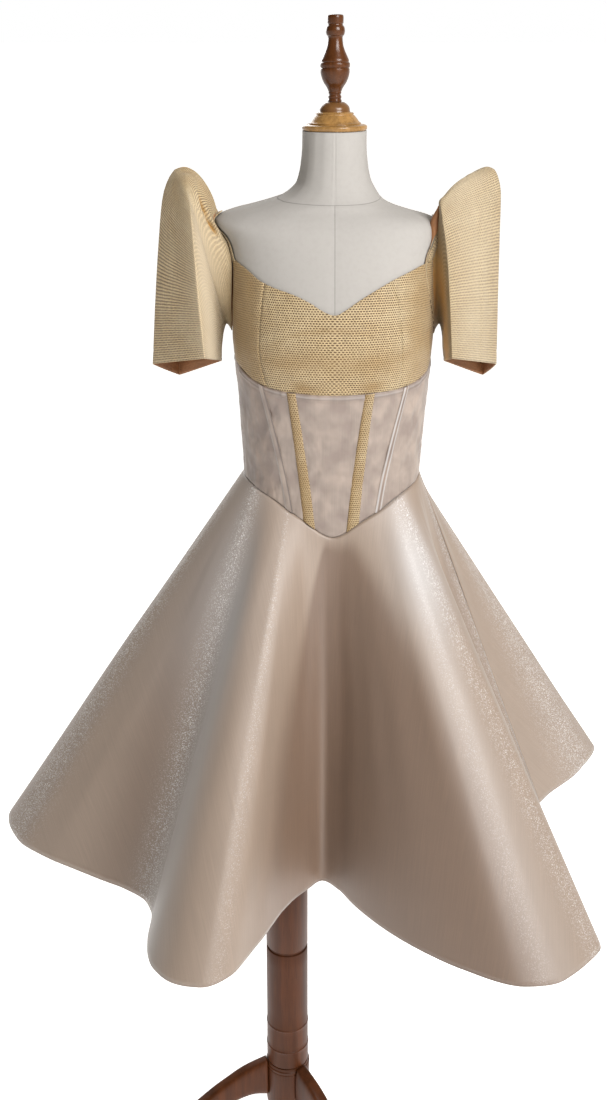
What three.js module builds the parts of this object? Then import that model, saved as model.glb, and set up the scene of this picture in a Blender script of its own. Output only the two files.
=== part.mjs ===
// A terno gown on a limbless dress form with a turned wooden stand.
// Millimetres, +Z up, front of the gown at -Y, floor at z = 0.
// Angles round the body run from +X (the viewer's right) over +Y (back); 270 is the centre front.
import * as THREE from 'three';

// Driving sizes
const AXIS_X = 24;            // torso axis; the skirt swings wider to the left
const FORM_GAP = 1.0;         // cloth stands this far off the form
const CLOTH = 1.6;            // bodice and corset wall
const SKIRT_CLOTH = 1.6;
const SLEEVE_CLOTH = 1.8;
const SEAM = 0.2;             // every panel is drawn in by this much at each edge
const HEM_Z = 680;
const FORM_BOTTOM = 1090;
const FORM_TOP = 1735;
const POLE_X = -45;           // the pole stands off the torso axis, as worn
const POLE_R = 35;
const TAPE_WIDTH = 16;
const TAPE = 1.2;
const TAPE_GAP = 0.5;
const CHANNEL_WIDTH = 9;
const LEG_REACH = 300;

const SATIN = 0xb8a694;
const GOLD = 0xb39c78;
const LINEN = 0xccc7c0;
const PALE_WOOD = 0xb28f5d;
const DARK_WOOD = 0x5d3a28;

const rad = (deg) => deg * Math.PI / 180;
const lerp = (a, b, t) => a + (b - a) * t;

// A table: one row a section, the first entry is the station, the others are named columns.
function table(columns, rows) {
  const out = {};
  const xs = rows.map((r) => r[0]);
  columns.slice(1).forEach((name, k) => {
    out[name] = curve(xs, rows.map((r) => r[k + 1]));
  });
  return out;
}

// Monotone cubic through the given stations.
function curve(xs, ys) {
  const n = xs.length;
  const slope = [];
  for (let i = 0; i < n - 1; i++) slope.push((ys[i + 1] - ys[i]) / (xs[i + 1] - xs[i]));
  const m = [slope[0]];
  for (let i = 1; i < n - 1; i++) {
    const a = slope[i - 1];
    const b = slope[i];
    m.push(a * b <= 0 ? 0 : 2 * a * b / (a + b));
  }
  m.push(slope[n - 2]);
  return (x) => {
    if (x <= xs[0]) return ys[0];
    if (x >= xs[n - 1]) return ys[n - 1];
    let i = 0;
    while (x > xs[i + 1]) i++;
    const h = xs[i + 1] - xs[i];
    const t = (x - xs[i]) / h;
    const t2 = t * t;
    const t3 = t2 * t;
    return (2 * t3 - 3 * t2 + 1) * ys[i] + (t3 - 2 * t2 + t) * h * m[i]
      + (3 * t2 - 2 * t3) * ys[i + 1] + (t3 - t2) * h * m[i + 1];
  };
}

// Torso sections of a general figure, small women's size
const TORSO = table(['z', 'half', 'front', 'back', 'square'], [
  [1090, 122, 88, 90, 2.3], [1130, 129, 95, 97, 2.3], [1200, 126.5, 94, 90, 2.3],
  [1265, 124.5, 92, 84, 2.3], [1320, 127, 98, 86, 2.3], [1370, 130, 106, 90, 2.3],
  [1420, 134, 114, 93, 2.3], [1470, 137, 117, 95, 2.3], [1510, 137.5, 110, 95, 2.3],
  [1550, 138, 96, 92, 2.3], [1580, 141, 86, 87, 2.3], [1600, 145, 79, 81, 2.3],
  [1615, 146, 73, 75, 2.3], [1624, 141, 68, 71, 2.25], [1630, 129, 64, 68, 2.2],
  [1636, 107, 60, 65, 2.15], [1643, 84, 57, 61, 2.1], [1650, 69, 53, 57, 2.05],
  [1660, 58, 49.5, 53, 2], [1672, 50, 46.5, 49, 2], [1690, 45.5, 44, 45.5, 2],
  [1715, 43, 43, 43, 2], [1735, 42.5, 42.5, 42.5, 2],
]);

function torsoPoint(deg, z) {
  const c = Math.cos(rad(deg));
  const s = Math.sin(rad(deg));
  const p = 2 / TORSO.square(z);
  const depth = s > 0 ? TORSO.back(z) : TORSO.front(z);
  return new THREE.Vector3(
    AXIS_X + TORSO.half(z) * Math.sign(c) * Math.abs(c) ** p,
    depth * Math.sign(s) * Math.abs(s) ** p,
    z,
  );
}

// A point off the torso by `off`, square to its surface.
function onTorso(deg, z, off) {
  const a = torsoPoint(deg + 0.6, z).sub(torsoPoint(deg - 0.6, z));
  const b = torsoPoint(deg, z + 1.5).sub(torsoPoint(deg, z - 1.5));
  return torsoPoint(deg, z).addScaledVector(a.cross(b).normalize(), off);
}

// Draw the edges of a grid of points in by `by`, towards the next row or column.
function drawIn(grid, by, closed) {
  const rows = grid.length;
  const cols = grid[0].length;
  const copy = grid.map((r) => r.map((p) => p.clone()));
  const move = (i, j, k, l) => {
    const d = grid[k][l].clone().sub(grid[i][j]);
    const len = d.length();
    copy[i][j].addScaledVector(d, Math.min(by, len * 0.4) / len);
  };
  for (let j = 0; j < cols; j++) {
    move(0, j, 1, j);
    move(rows - 1, j, rows - 2, j);
  }
  if (!closed) {
    for (let i = 0; i < rows; i++) {
      move(i, 0, i, 1);
      move(i, cols - 1, i, cols - 2);
    }
  }
  return copy;
}

function gridNormals(grid, closed) {
  const rows = grid.length;
  const cols = grid[0].length;
  return grid.map((row, i) => row.map((p, j) => {
    const l = closed ? (j + cols - 1) % cols : Math.max(j - 1, 0);
    const r = closed ? (j + 1) % cols : Math.min(j + 1, cols - 1);
    const a = grid[i][r].clone().sub(grid[i][l]);
    const b = grid[Math.min(i + 1, rows - 1)][j].clone().sub(grid[Math.max(i - 1, 0)][j]);
    return a.cross(b).normalize();
  }));
}

// A closed wall between an outer and an inner grid. Rows go up, columns go counter-clockwise.
function wallBetween(outer, inner, closed) {
  const rows = outer.length;
  const cols = outer[0].length;
  const pos = [];
  for (const g of [outer, inner]) for (const r of g) for (const p of r) pos.push(p.x, p.y, p.z);
  const o = (i, j) => i * cols + (j % cols);
  const n = (i, j) => rows * cols + i * cols + (j % cols);
  const idx = [];
  const quad = (a, b, c, d) => idx.push(a, b, c, a, c, d);
  const span = closed ? cols : cols - 1;
  for (let i = 0; i < rows - 1; i++) {
    for (let j = 0; j < span; j++) {
      quad(o(i, j), o(i, j + 1), o(i + 1, j + 1), o(i + 1, j));
      quad(n(i, j), n(i + 1, j), n(i + 1, j + 1), n(i, j + 1));
    }
  }
  for (let j = 0; j < span; j++) {
    quad(n(0, j), n(0, j + 1), o(0, j + 1), o(0, j));
    quad(o(rows - 1, j), o(rows - 1, j + 1), n(rows - 1, j + 1), n(rows - 1, j));
  }
  if (!closed) {
    const e = cols - 1;
    for (let i = 0; i < rows - 1; i++) {
      quad(n(i, 0), o(i, 0), o(i + 1, 0), n(i + 1, 0));
      quad(o(i, e), n(i, e), n(i + 1, e), o(i + 1, e));
    }
  }
  return shape(pos, idx);
}

function shape(pos, idx) {
  const g = new THREE.BufferGeometry();
  g.setAttribute('position', new THREE.Float32BufferAttribute(pos, 3));
  g.setIndex(idx);
  g.computeVertexNormals();
  return g;
}

// A closed solid through rings of points, flat at both ends.
function loft(rings) {
  const cols = rings[0].length;
  const pos = [];
  for (const r of rings) for (const p of r) pos.push(p.x, p.y, p.z);
  const idx = [];
  for (let i = 0; i < rings.length - 1; i++) {
    for (let j = 0; j < cols; j++) {
      const k = (j + 1) % cols;
      idx.push(i * cols + j, i * cols + k, (i + 1) * cols + k);
      idx.push(i * cols + j, (i + 1) * cols + k, (i + 1) * cols + j);
    }
  }
  const last = (rings.length - 1) * cols;
  for (const [start, flip] of [[0, true], [last, false]]) {
    const c = new THREE.Vector3();
    for (let j = 0; j < cols; j++) c.add(rings[start / cols][j]);
    c.divideScalar(cols);
    const at = pos.length / 3;
    pos.push(c.x, c.y, c.z);
    for (let j = 0; j < cols; j++) {
      const k = (j + 1) % cols;
      if (flip) idx.push(at, start + k, start + j);
      else idx.push(at, start + j, start + k);
    }
  }
  return shape(pos, idx);
}

const gown = new THREE.Group();
gown.name = 'terno_gown';

function add(name, geometry, color, rough = 0.7) {
  const mesh = new THREE.Mesh(geometry, new THREE.MeshStandardMaterial({ color, roughness: rough }));
  mesh.name = name;
  gown.add(mesh);
}

// Seams round the torso: heights by angle. The left half and the right half share the back.
const NECKLINE = curve(
  [202, 215, 229, 239, 249, 259, 266, 270, 274, 281, 290, 299, 309, 322, 338],
  [1572, 1564, 1550, 1543, 1537, 1527, 1516, 1512, 1518, 1530, 1542, 1552, 1560, 1568, 1575],
);
const GOLD_SEAM = curve(
  [180, 192, 203, 215, 230, 250, 270, 290, 310, 325, 337, 348, 360],
  [1439, 1436, 1430, 1421, 1413, 1408, 1406, 1408, 1411, 1416, 1422, 1430, 1439],
);
const BASQUE = curve(
  [180, 192, 205, 218, 229, 244, 254, 260, 265, 270, 275, 280, 286, 296, 311, 322, 335, 348, 360],
  [1266, 1264, 1260, 1254, 1248, 1233, 1220, 1210, 1201, 1196, 1201, 1210, 1219, 1231, 1247, 1255, 1260, 1264, 1266],
);
const goldSeam = (deg) => (deg < 180 ? 1439 : GOLD_SEAM(deg));
const basque = (deg) => (deg < 180 ? 1266 - 8 * Math.sin(rad(deg)) : BASQUE(deg));

// Upright seams: angle by height
const PRINCESS_LEFT = curve([1408, 1431, 1464, 1510, 1552], [231.5, 228.6, 226.5, 228.2, 231.6]);
const PRINCESS_RIGHT = curve([1408, 1440, 1473, 1514, 1553], [308.2, 308.2, 307.4, 305.2, 299.3]);
const TAPE_LEFT = curve([1200, 1300, 1408], [258.4, 253.2, 247.8]);
const TAPE_RIGHT = curve([1200, 1300, 1408], [279.8, 283.6, 287.8]);
const OUTER_LEFT = curve([1230, 1320, 1414], [244.8, 236.5, 226.3]);
const OUTER_RIGHT = curve([1225, 1320, 1414], [296.2, 304.5, 313.8]);
const at = (deg) => () => deg;

// Armhole edge in the cloth: height of the bodice top by angle, from the side (0) to front or back
const UNDERARM = curve([0, 5, 10, 14, 18, 22, 30], [1466, 1470, 1484, 1506, 1540, 1572, 1640]);
const topFront = (deg) => Math.min(UNDERARM(Math.min(deg - 180, 360 - deg)), NECKLINE(deg));
const BACK_NECK = curve([0, 5, 10, 14, 18, 22, 30, 50, 70, 90], [1466, 1470, 1482, 1502, 1532, 1560, 1556, 1540, 1530, 1527]);
const topBack = (deg) => BACK_NECK(Math.min(deg, 180 - deg));

// Points of a panel between two upright seams and two level ones.
function panelGrid(fromDeg, toDeg, bottom, top, cols, rows, off) {
  const grid = [];
  for (let i = 0; i <= rows; i++) {
    const row = [];
    for (let j = 0; j <= cols; j++) {
      let z = lerp(bottom(fromDeg(1350)), top(fromDeg(1350)), i / rows);
      let deg = 0;
      for (let k = 0; k < 12; k++) {
        deg = lerp(fromDeg(z), toDeg(z), j / cols);
        z = lerp(bottom(deg), top(deg), i / rows);
      }
      row.push([deg, z]);
    }
    grid.push(row);
  }
  return grid.map((r) => r.map(([deg, z]) => onTorso(deg, z, off)));
}

function panel(name, from, to, bottom, top, cols, rows, color, off = FORM_GAP, thick = CLOTH) {
  const outer = drawIn(panelGrid(from, to, bottom, top, cols, rows, off + thick), SEAM);
  const inner = drawIn(panelGrid(from, to, bottom, top, cols, rows, off), SEAM);
  add(name, wallBetween(outer, inner), color);
}

panel('bodice_front_center', PRINCESS_LEFT, PRINCESS_RIGHT, goldSeam, topFront, 16, 6, GOLD);
panel('bodice_side_front_left', at(180), PRINCESS_LEFT, goldSeam, topFront, 11, 7, GOLD);
panel('bodice_side_front_right', PRINCESS_RIGHT, at(360), goldSeam, topFront, 11, 7, GOLD);
panel('bodice_back_left', at(90), at(180), goldSeam, topBack, 16, 5, GOLD);
panel('bodice_back_right', at(0), at(90), goldSeam, topBack, 16, 5, GOLD);

panel('corset_front_center', TAPE_LEFT, TAPE_RIGHT, basque, goldSeam, 12, 6, SATIN);
panel('corset_mid_left', OUTER_LEFT, TAPE_LEFT, basque, goldSeam, 5, 6, SATIN);
panel('corset_mid_right', TAPE_RIGHT, OUTER_RIGHT, basque, goldSeam, 5, 6, SATIN);
panel('corset_side_left', at(180), OUTER_LEFT, basque, goldSeam, 11, 6, SATIN);
panel('corset_side_right', OUTER_RIGHT, at(360), basque, goldSeam, 11, 6, SATIN);
panel('corset_back_left', at(90), at(180), basque, goldSeam, 15, 5, SATIN);
panel('corset_back_right', at(0), at(90), basque, goldSeam, 15, 5, SATIN);

// A narrow band sewn over an upright seam, made from the panel's surface moved out.
function band(name, seam, width, color) {
  const half = (z) => width / 2 / (TORSO.front(z) * 0.0195);
  const from = (z) => seam(z) - half(z);
  const to = (z) => seam(z) + half(z);
  panel(name, from, to, basque, goldSeam, 4, 6, color, FORM_GAP + CLOTH + TAPE_GAP, TAPE);
}
band('boning_tape_left', TAPE_LEFT, TAPE_WIDTH, GOLD);
band('boning_tape_right', TAPE_RIGHT, TAPE_WIDTH, GOLD);
band('boning_channel_left', OUTER_LEFT, CHANNEL_WIDTH, SATIN);
band('boning_channel_right', OUTER_RIGHT, CHANNEL_WIDTH, SATIN);

// Straps over the shoulder tips: t from the front neckline to the back; angle from the side,
// counted to the front; `edge` is the armhole side and `neck` the neck side.
const STRAP = table(['t', 'edgeTurn', 'edgeZ', 'neckTurn', 'neckZ'], [
  [0, 23.6, 1572.6, 34, 1564.8], [0.25, 18.5, 1602, 26, 1602], [0.42, 9, 1619, 11, 1627],
  [0.5, 0, 1622.5, 0, 1631.5], [0.58, -9, 1619, -11, 1627], [0.75, -18.5, 1598, -26, 1596],
  [1, -23.6, 1560.6, -34, 1554.6],
]);
const STRAP_LIFT = 0.3;
function strap(name, side) {
  const grid = (off) => {
    const out = [];
    for (let i = 0; i <= 4; i++) {
      const row = [];
      for (let j = 0; j <= 14; j++) {
        const t = side < 0 ? 1 - j / 14 : j / 14;
        const turn = lerp(STRAP.edgeTurn(t), STRAP.neckTurn(t), i / 4);
        const deg = side < 0 ? 180 + turn : (360 - turn) % 360;
        let z = lerp(STRAP.edgeZ(t), STRAP.neckZ(t), i / 4);
        const seam = STRAP_LIFT + (t < 0.5 ? topFront(deg) : topBack(deg));
        const end = Math.max(0, 1 - 4 * Math.min(t, 1 - t));
        z = Math.max(lerp(z, seam, end), Math.min(t, 1 - t) < 0.25 ? seam : 0);
        row.push(onTorso(deg, z, off));
      }
      out.push(row);
    }
    return out;
  };
  const off = FORM_GAP + 0.6;
  add(name, wallBetween(drawIn(grid(off + CLOTH), SEAM), drawIn(grid(off), SEAM)), GOLD);
}
strap('strap_left', -1);
strap('strap_right', 1);

// Hem of the circle skirt in plan: radius from the torso axis by angle, a row for each turn of a fold
const HEM = [
  [8, 372], [16, 450], [25, 522], [33, 505], [43, 400], [54, 318], [66, 330], [78, 402], [90, 416],
  [101, 388], [113, 312], [124, 306], [135, 382], [146, 492], [155, 505], [163, 452], [170, 470],
  [180, 520], [189, 496], [196, 455], [202, 418], [208, 389], [214, 366], [220, 357], [225, 366],
  [231, 410], [237.6, 451], [242, 460], [247, 451], [250.6, 415], [252.6, 345], [254.5, 268],
  [259, 217], [266, 185], [273, 207], [279, 257], [286.8, 333], [294.9, 420], [301.4, 485],
  [307.6, 506], [317, 503], [321.5, 470], [327, 395], [334, 315], [343, 275], [352, 292], [360, 330],
];
const HEM_START = HEM[0][0];
const hemRadius = curve(
  [...HEM.slice(-3).map((r) => r[0] - 360), ...HEM.map((r) => r[0]), ...HEM.slice(0, 3).map((r) => r[0] + 360)],
  [...HEM.slice(-3).map((r) => r[1]), ...HEM.map((r) => r[1]), ...HEM.slice(0, 3).map((r) => r[1])],
);
const hemPoint = (deg) => {
  const d = ((deg - HEM_START) % 360 + 360) % 360 + HEM_START;
  const r = hemRadius(d);
  return new THREE.Vector3(AXIS_X + r * Math.cos(rad(d)), r * Math.sin(rad(d)), HEM_Z);
};

// Cloth runs to the hem partly straight below its place at the waist and partly by its share of the hem.
const FAN = 0.5;
const hemRun = [0];
for (let k = 1; k <= 1440; k++) hemRun.push(hemRun[k - 1] + hemPoint(k / 4).distanceTo(hemPoint((k - 1) / 4)));
const HEM_LENGTH = hemRun[1440];
const FAN_ZERO = 270 - 360 * hemRun[1080] / HEM_LENGTH;
const waistTurn = (k) => lerp(k / 4, FAN_ZERO + 360 * hemRun[k] / HEM_LENGTH, FAN);
const waistAngles = hemRun.map((_, k) => waistTurn(k));
const hemRunAt = curve([...hemRun.keys()].map((k) => k / 4), hemRun);
const waistAt = curve([...hemRun.keys()].map((k) => k / 4), waistAngles);

const SKIRT_ROWS = [0, 0.04, 0.12, 0.24, 0.4, 0.58, 0.76, 0.9, 1];
const SKIRT_DROP = 0.35;      // the skirt starts this far below the corset edge
const WAIST_SHARE = 9;        // millimetres of hem that count as one degree when columns are spaced

// The skirt's surface: straight from the waist seam to the hem at each turn.
function skirtPoint(deg, t) {
  const turns = Math.floor(deg / 360);
  const waist = ((waistAt(deg - 360 * turns) % 360) + 360) % 360;
  return onTorso(waist, basque(waist) - SKIRT_DROP, FORM_GAP + CLOTH).lerp(hemPoint(deg), t);
}

function skirtNormal(deg, t) {
  const a = skirtPoint(deg + 0.5, t).sub(skirtPoint(deg - 0.5, t));
  const b = skirtPoint(deg, t - 0.02).sub(skirtPoint(deg, t + 0.02));
  return a.cross(b).normalize();
}

// Columns between two hem angles, spaced along the hem and, in the valleys, round the waist.
function skirtPanel(name, fromDeg, toDeg, cols) {
  const runOf = (deg) => hemRunAt(((deg % 360) + 360) % 360) + Math.floor(deg / 360) * HEM_LENGTH
    + WAIST_SHARE * deg;
  const hemAngle = (run) => {
    let lo = fromDeg;
    let hi = toDeg;
    for (let k = 0; k < 40; k++) {
      const mid = (lo + hi) / 2;
      if (runOf(mid) < run) lo = mid;
      else hi = mid;
    }
    return (lo + hi) / 2;
  };
  const angles = [];
  for (let j = 0; j <= cols; j++) angles.push(hemAngle(lerp(runOf(fromDeg), runOf(toDeg), j / cols)));
  const rows = [...SKIRT_ROWS].reverse();
  const grid = (by) => drawIn(
    rows.map((t) => angles.map((deg) => skirtPoint(deg, t).addScaledVector(skirtNormal(deg, t), by))),
    SEAM,
  );
  add(name, wallBetween(grid(0), grid(-SKIRT_CLOTH)), SATIN, 0.5);
}
skirtPanel('skirt_front', 176, 364, 58);
skirtPanel('skirt_back_left', 90, 176, 23);
skirtPanel('skirt_back_right', 4, 90, 23);

// Butterfly sleeve: a flattened tube with four creases. Each row is a ring from the hem to the armhole:
// `o` outer then top crease, `f` front, `i` inner then underarm, `b` back; x is counted out from the axis.
const SLEEVE = table(
  ['t', 'ox', 'oy', 'oz', 'fx', 'fy', 'fz', 'ix', 'iy', 'iz', 'bx', 'by', 'bz', 'box'],
  [
    [0, 246, 10, 1419, 166, -80, 1448, 155, -8, 1428, 225, 86, 1384, 0.94],
    [0.2, 241, 9, 1498, 166, -77, 1512, 153.5, -7, 1446, 221, 85, 1452, 0.92],
    [0.4, 233, 7, 1592, 165, -67, 1588, 152, -6, 1460, 213, 80, 1540, 0.86],
    [0.55, 227, 4, 1655, 165, -55, 1636, 150.5, -4, 1468, 205, 68, 1610, 0.75],
    [0.66, 213, 1, 1687, 164, -46, 1650, 149, -2, 1474, 192, 56, 1640, 0.6],
    [0.76, 196, 0, 1691, 159, -39, 1645, 147.5, 0, 1478, 177, 47, 1636, 0.4],
    [0.86, 177, 0, 1680, 152, -33, 1622, 146, 2, 1479, 163, 40, 1612, 0.25],
    [0.94, 161, 0, 1659, 146, -30, 1597, 144.3, 2, 1477, 152, 36, 1586, 0.1],
    [1, 151.5, 0, 1632, 141.8, -28, 1571, 142.6, 2, 1475, 145.4, 34, 1565, 0],
  ],
);
const SLEEVE_SWAY = -10;      // both sleeves hang a little to the left at their outer edge

function sleeve(name, side) {
  const RING = 28;
  const ROWS = 14;
  const grid = [];
  for (let i = 0; i <= ROWS; i++) {
    const t = i / ROWS;
    const corner = (k) => {
      const x = SLEEVE[`${k}x`](t);
      const sway = SLEEVE_SWAY * Math.max(0, Math.min(1, (x - 155) / 91));
      return new THREE.Vector3(AXIS_X + side * x + sway, SLEEVE[`${k}y`](t), SLEEVE[`${k}z`](t));
    };
    const [o, f, n, b] = ['o', 'f', 'i', 'b'].map(corner);
    const mid = o.clone().add(f).add(n).add(b).multiplyScalar(0.25);
    const row = [];
    for (let j = 0; j < RING; j++) {
      const u = 4 * j / RING;
      const corners = [o, f, n, b, o];
      const flat = corners[Math.floor(u)].clone().lerp(corners[Math.floor(u) + 1], u % 1);
      const c = Math.cos(u * Math.PI / 2);
      const s = Math.sin(u * Math.PI / 2);
      const round = mid.clone()
        .addScaledVector(o.clone().sub(n), c / 2)
        .addScaledVector(f.clone().sub(b), s / 2)
        .addScaledVector(o.clone().add(n).multiplyScalar(0.5).sub(mid), c * c)
        .addScaledVector(f.clone().add(b).multiplyScalar(0.5).sub(mid), s * s);
      row.push(round.lerp(flat, SLEEVE.box(t)));
    }
    grid.push(row);
  }
  if (side < 0) grid.forEach((r) => r.reverse());
  grid.forEach((r) => r.reverse());
  const normals = gridNormals(grid, true);
  const shift = (by) => grid.map((r, i) => r.map((p, j) => p.clone().addScaledVector(normals[i][j], by)));
  add(name, wallBetween(shift(SLEEVE_CLOTH / 2), shift(-SLEEVE_CLOTH / 2), true), GOLD);
}
sleeve('sleeve_left', -1);
sleeve('sleeve_right', 1);

// Dress form: one smooth closed body, its lower edge rounded under
const FORM_STATIONS = [1090, 1120, 1190, 1240, 1275, 1320, 1370, 1420, 1460, 1500, 1540, 1575, 1600,
  1612, 1619, 1624, 1629, 1635, 1641, 1648, 1656, 1666, 1682, 1708, 1735];
const formRing = (z, shrink) => {
  const ring = [];
  for (let j = 0; j < 40; j++) {
    const p = torsoPoint(j * 9, z);
    ring.push(new THREE.Vector3(AXIS_X + (p.x - AXIS_X) * shrink, p.y * shrink, z));
  }
  return ring;
};
const formRings = FORM_STATIONS.map((z) => formRing(z, 1));
formRings[0].forEach((p) => { p.z = FORM_BOTTOM + 8; });
const underRing = formRing(FORM_BOTTOM, 0.93);
add('form_torso', loft([underRing, ...formRings]), LINEN, 0.8);

// Turned pieces: radius by height
function turned(name, x, profile, segments, color, rough = 0.45) {
  const points = [new THREE.Vector2(0, profile[0][1])];
  profile.forEach(([r, z]) => points.push(new THREE.Vector2(r, z)));
  points.push(new THREE.Vector2(0, profile[profile.length - 1][1]));
  const g = new THREE.LatheGeometry(points, segments);
  g.rotateX(Math.PI / 2);
  g.translate(x, 0, 0);
  add(name, g, color, rough);
}
turned('form_neck_cap', AXIS_X, [
  [40, 1735.3], [43, 1738], [43, 1741], [38.5, 1743], [34.8, 1743.4], [34.6, 1745], [32.6, 1746.6],
  [26.2, 1754], [25.2, 1756.8], [20.8, 1758.2], [20, 1760], [19.3, 1763], [16, 1768], [11, 1770.7],
], 24, PALE_WOOD);
turned('finial', AXIS_X, [
  [8.8, 1771], [8.5, 1777], [7.6, 1780], [8.6, 1784], [11, 1789], [14.5, 1794], [17.6, 1801], [19, 1808],
  [18.3, 1812.4], [19.3, 1814.5], [19.3, 1818], [18, 1820.8], [15.6, 1827], [12.4, 1834], [9.6, 1845],
  [11.4, 1852.4], [12.3, 1857.2], [9.6, 1864], [10.3, 1868], [10.3, 1873], [7, 1876.6],
], 20, DARK_WOOD);
turned('pole', POLE_X, [
  [POLE_R - 2, 172], [POLE_R, 174], [POLE_R, 207], [POLE_R - 1, 208.5], [POLE_R, 210], [POLE_R, 254],
  [POLE_R - 1, 255.5], [POLE_R, 257], [POLE_R, 415], [POLE_R - 2.5, 418], [POLE_R, 421], [POLE_R, 1088],
  [POLE_R - 1, 1089.6],
], 24, DARK_WOOD);
turned('hub', POLE_X, [
  [12, 60], [26, 64], [36, 74], [38, 88], [38, 160], [37, 163], [38, 166], [36.5, 171.6],
], 24, DARK_WOOD);

// Tripod leg: a curved bar, its end flat on the floor. Reach from the pole, centre height, depth, width.
const LEG = table(['t', 'reach', 'z', 'deep', 'wide', 'tilt'], [
  [0, 38.5, 136, 76, 26, 0], [0.15, 66, 132, 60, 26, 10], [0.35, 114, 110, 42, 26, 26],
  [0.6, 180, 64, 32, 26, 32], [0.8, 240, 29, 29, 27, 26], [0.92, 276, 12.5, 28, 28, 8],
]);
function leg(name, deg) {
  const rings = [];
  for (let i = 0; i <= 8; i++) {
    const t = i / 8 * 0.92;
    const ring = [];
    for (let j = 0; j < 12; j++) {
      const a = rad(30 * j + 15);
      const across = LEG.wide(t) / 2 * Math.sign(Math.cos(a)) * Math.abs(Math.cos(a)) ** 0.45;
      const up = LEG.deep(t) / 2 * Math.sign(Math.sin(a)) * Math.abs(Math.sin(a)) ** 0.45;
      const tilt = rad(LEG.tilt(t));
      const out = LEG.reach(t) + up * Math.sin(tilt);
      const z = Math.max(0, LEG.z(t) + up * Math.cos(tilt));
      ring.push([out, across, z]);
    }
    rings.push(ring);
  }
  rings.push(rings[rings.length - 1].map(([out, across, z]) => [LEG_REACH, across * 0.9, Math.min(z, 22)]));
  const c = Math.cos(rad(deg));
  const s = Math.sin(rad(deg));
  add(name, loft(rings.map((r) => r.map(([out, across, z]) => new THREE.Vector3(
    POLE_X + out * c - across * s,
    out * s + across * c,
    z,
  )))), DARK_WOOD);
}
leg('leg_left', 193);
leg('leg_right', 308);
leg('leg_back', 88);

export default gown;
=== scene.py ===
import math

import bmesh
import bpy
import numpy as np
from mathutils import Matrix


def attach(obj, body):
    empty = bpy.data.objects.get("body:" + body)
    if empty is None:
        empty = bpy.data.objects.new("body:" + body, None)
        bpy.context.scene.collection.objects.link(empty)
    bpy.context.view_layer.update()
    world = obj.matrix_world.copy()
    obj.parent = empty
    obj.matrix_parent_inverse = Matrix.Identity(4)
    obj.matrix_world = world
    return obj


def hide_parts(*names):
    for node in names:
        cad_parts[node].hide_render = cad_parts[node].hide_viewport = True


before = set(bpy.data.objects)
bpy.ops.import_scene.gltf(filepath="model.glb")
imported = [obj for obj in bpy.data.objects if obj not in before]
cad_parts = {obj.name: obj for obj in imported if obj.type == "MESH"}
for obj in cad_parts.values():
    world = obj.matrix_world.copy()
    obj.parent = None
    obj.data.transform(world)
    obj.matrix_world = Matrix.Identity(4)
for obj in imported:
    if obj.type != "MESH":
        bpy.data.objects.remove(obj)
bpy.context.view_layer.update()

bl_info = {
    "name": "Terno Gown",
    "version": (1, 0, 0),
    "blender": (4, 5, 0),
    "location": "3D View > Sidebar > Gown",
    "description": "A terno gown with flat butterfly sleeves on a limbless dress form",
    "category": "Add Mesh",
}

# All tables are in millimetres and degrees. Angles run from +X over +Y (back); 270 is the centre front.
MM = 0.001
CENTRE_FRONT = 270.0
AXIS_X = 24.0
POLE_X = -45.0
FORM_GAP = 1.0
CLOTH = 1.6
FORM_FOOT_Z = 1090
HEM_Z = 680.0
SKIRT_LENGTH = 680


# Shared maths

def curve(xs, ys):
    """A smooth curve through the given stations that never overshoots: a cubic between neighbours,
    its slope at each station the harmonic mean of the slopes on both sides."""
    xs = np.asarray(xs, float)
    ys = np.asarray(ys, float)
    slope = np.diff(ys) / np.diff(xs)
    m = np.zeros(len(xs))
    same = slope[:-1] * slope[1:] > 0
    total = np.where(same, slope[:-1] + slope[1:], 1.0)
    m[1:-1] = np.where(same, 2 * slope[:-1] * slope[1:] / total, 0.0)
    m[0] = slope[0]
    m[-1] = slope[-1]

    def at(x):
        x = np.clip(np.asarray(x, float), xs[0], xs[-1])
        i = np.clip(np.searchsorted(xs, x, side="right") - 1, 0, len(xs) - 2)
        h = xs[i + 1] - xs[i]
        t = (x - xs[i]) / h
        t2 = t * t
        t3 = t2 * t
        return ((2 * t3 - 3 * t2 + 1) * ys[i] + (t3 - 2 * t2 + t) * h * m[i]
                + (3 * t2 - 2 * t3) * ys[i + 1] + (t3 - t2) * h * m[i + 1])
    return at


def table(names, rows):
    """One curve for each named column, the first column being the station."""
    rows = np.asarray(rows, float)
    return {name: curve(rows[:, 0], rows[:, k + 1]) for k, name in enumerate(names.split()[1:])}


def soft_noise(u, v, seed):
    """Smooth noise from -1 to 1: random heights on a square lattice, eased between its points."""
    lattice = np.random.default_rng(seed).uniform(-1, 1, (64, 64))
    i = np.floor(u).astype(int)
    j = np.floor(v).astype(int)
    f = u - i
    g = v - j
    f = f * f * (3 - 2 * f)
    g = g * g * (3 - 2 * g)
    a = lattice[i % 64, j % 64] * (1 - f) + lattice[(i + 1) % 64, j % 64] * f
    b = lattice[i % 64, (j + 1) % 64] * (1 - f) + lattice[(i + 1) % 64, (j + 1) % 64] * f
    return a * (1 - g) + b * g


def bump(x, centre, width):
    """A bell of height 1 about a centre."""
    return np.exp(-((x - centre) / width) ** 2)


def ease(x):
    """From 0 to 1 with no corner at either end."""
    x = np.clip(x, 0, 1)
    return x * x * (3 - 2 * x)


def unit(v):
    """Vectors brought to a length of 1."""
    return v / np.maximum(np.linalg.norm(v, axis=-1, keepdims=True), 1e-9)


def grid_normals(p, closed):
    """Unit normals of a grid: the cross product of the steps along its columns and its rows."""
    if closed:
        du = np.roll(p, -1, axis=1) - np.roll(p, 1, axis=1)
    else:
        du = np.gradient(p, axis=1)
    return unit(np.cross(du, np.gradient(p, axis=0)))


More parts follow.
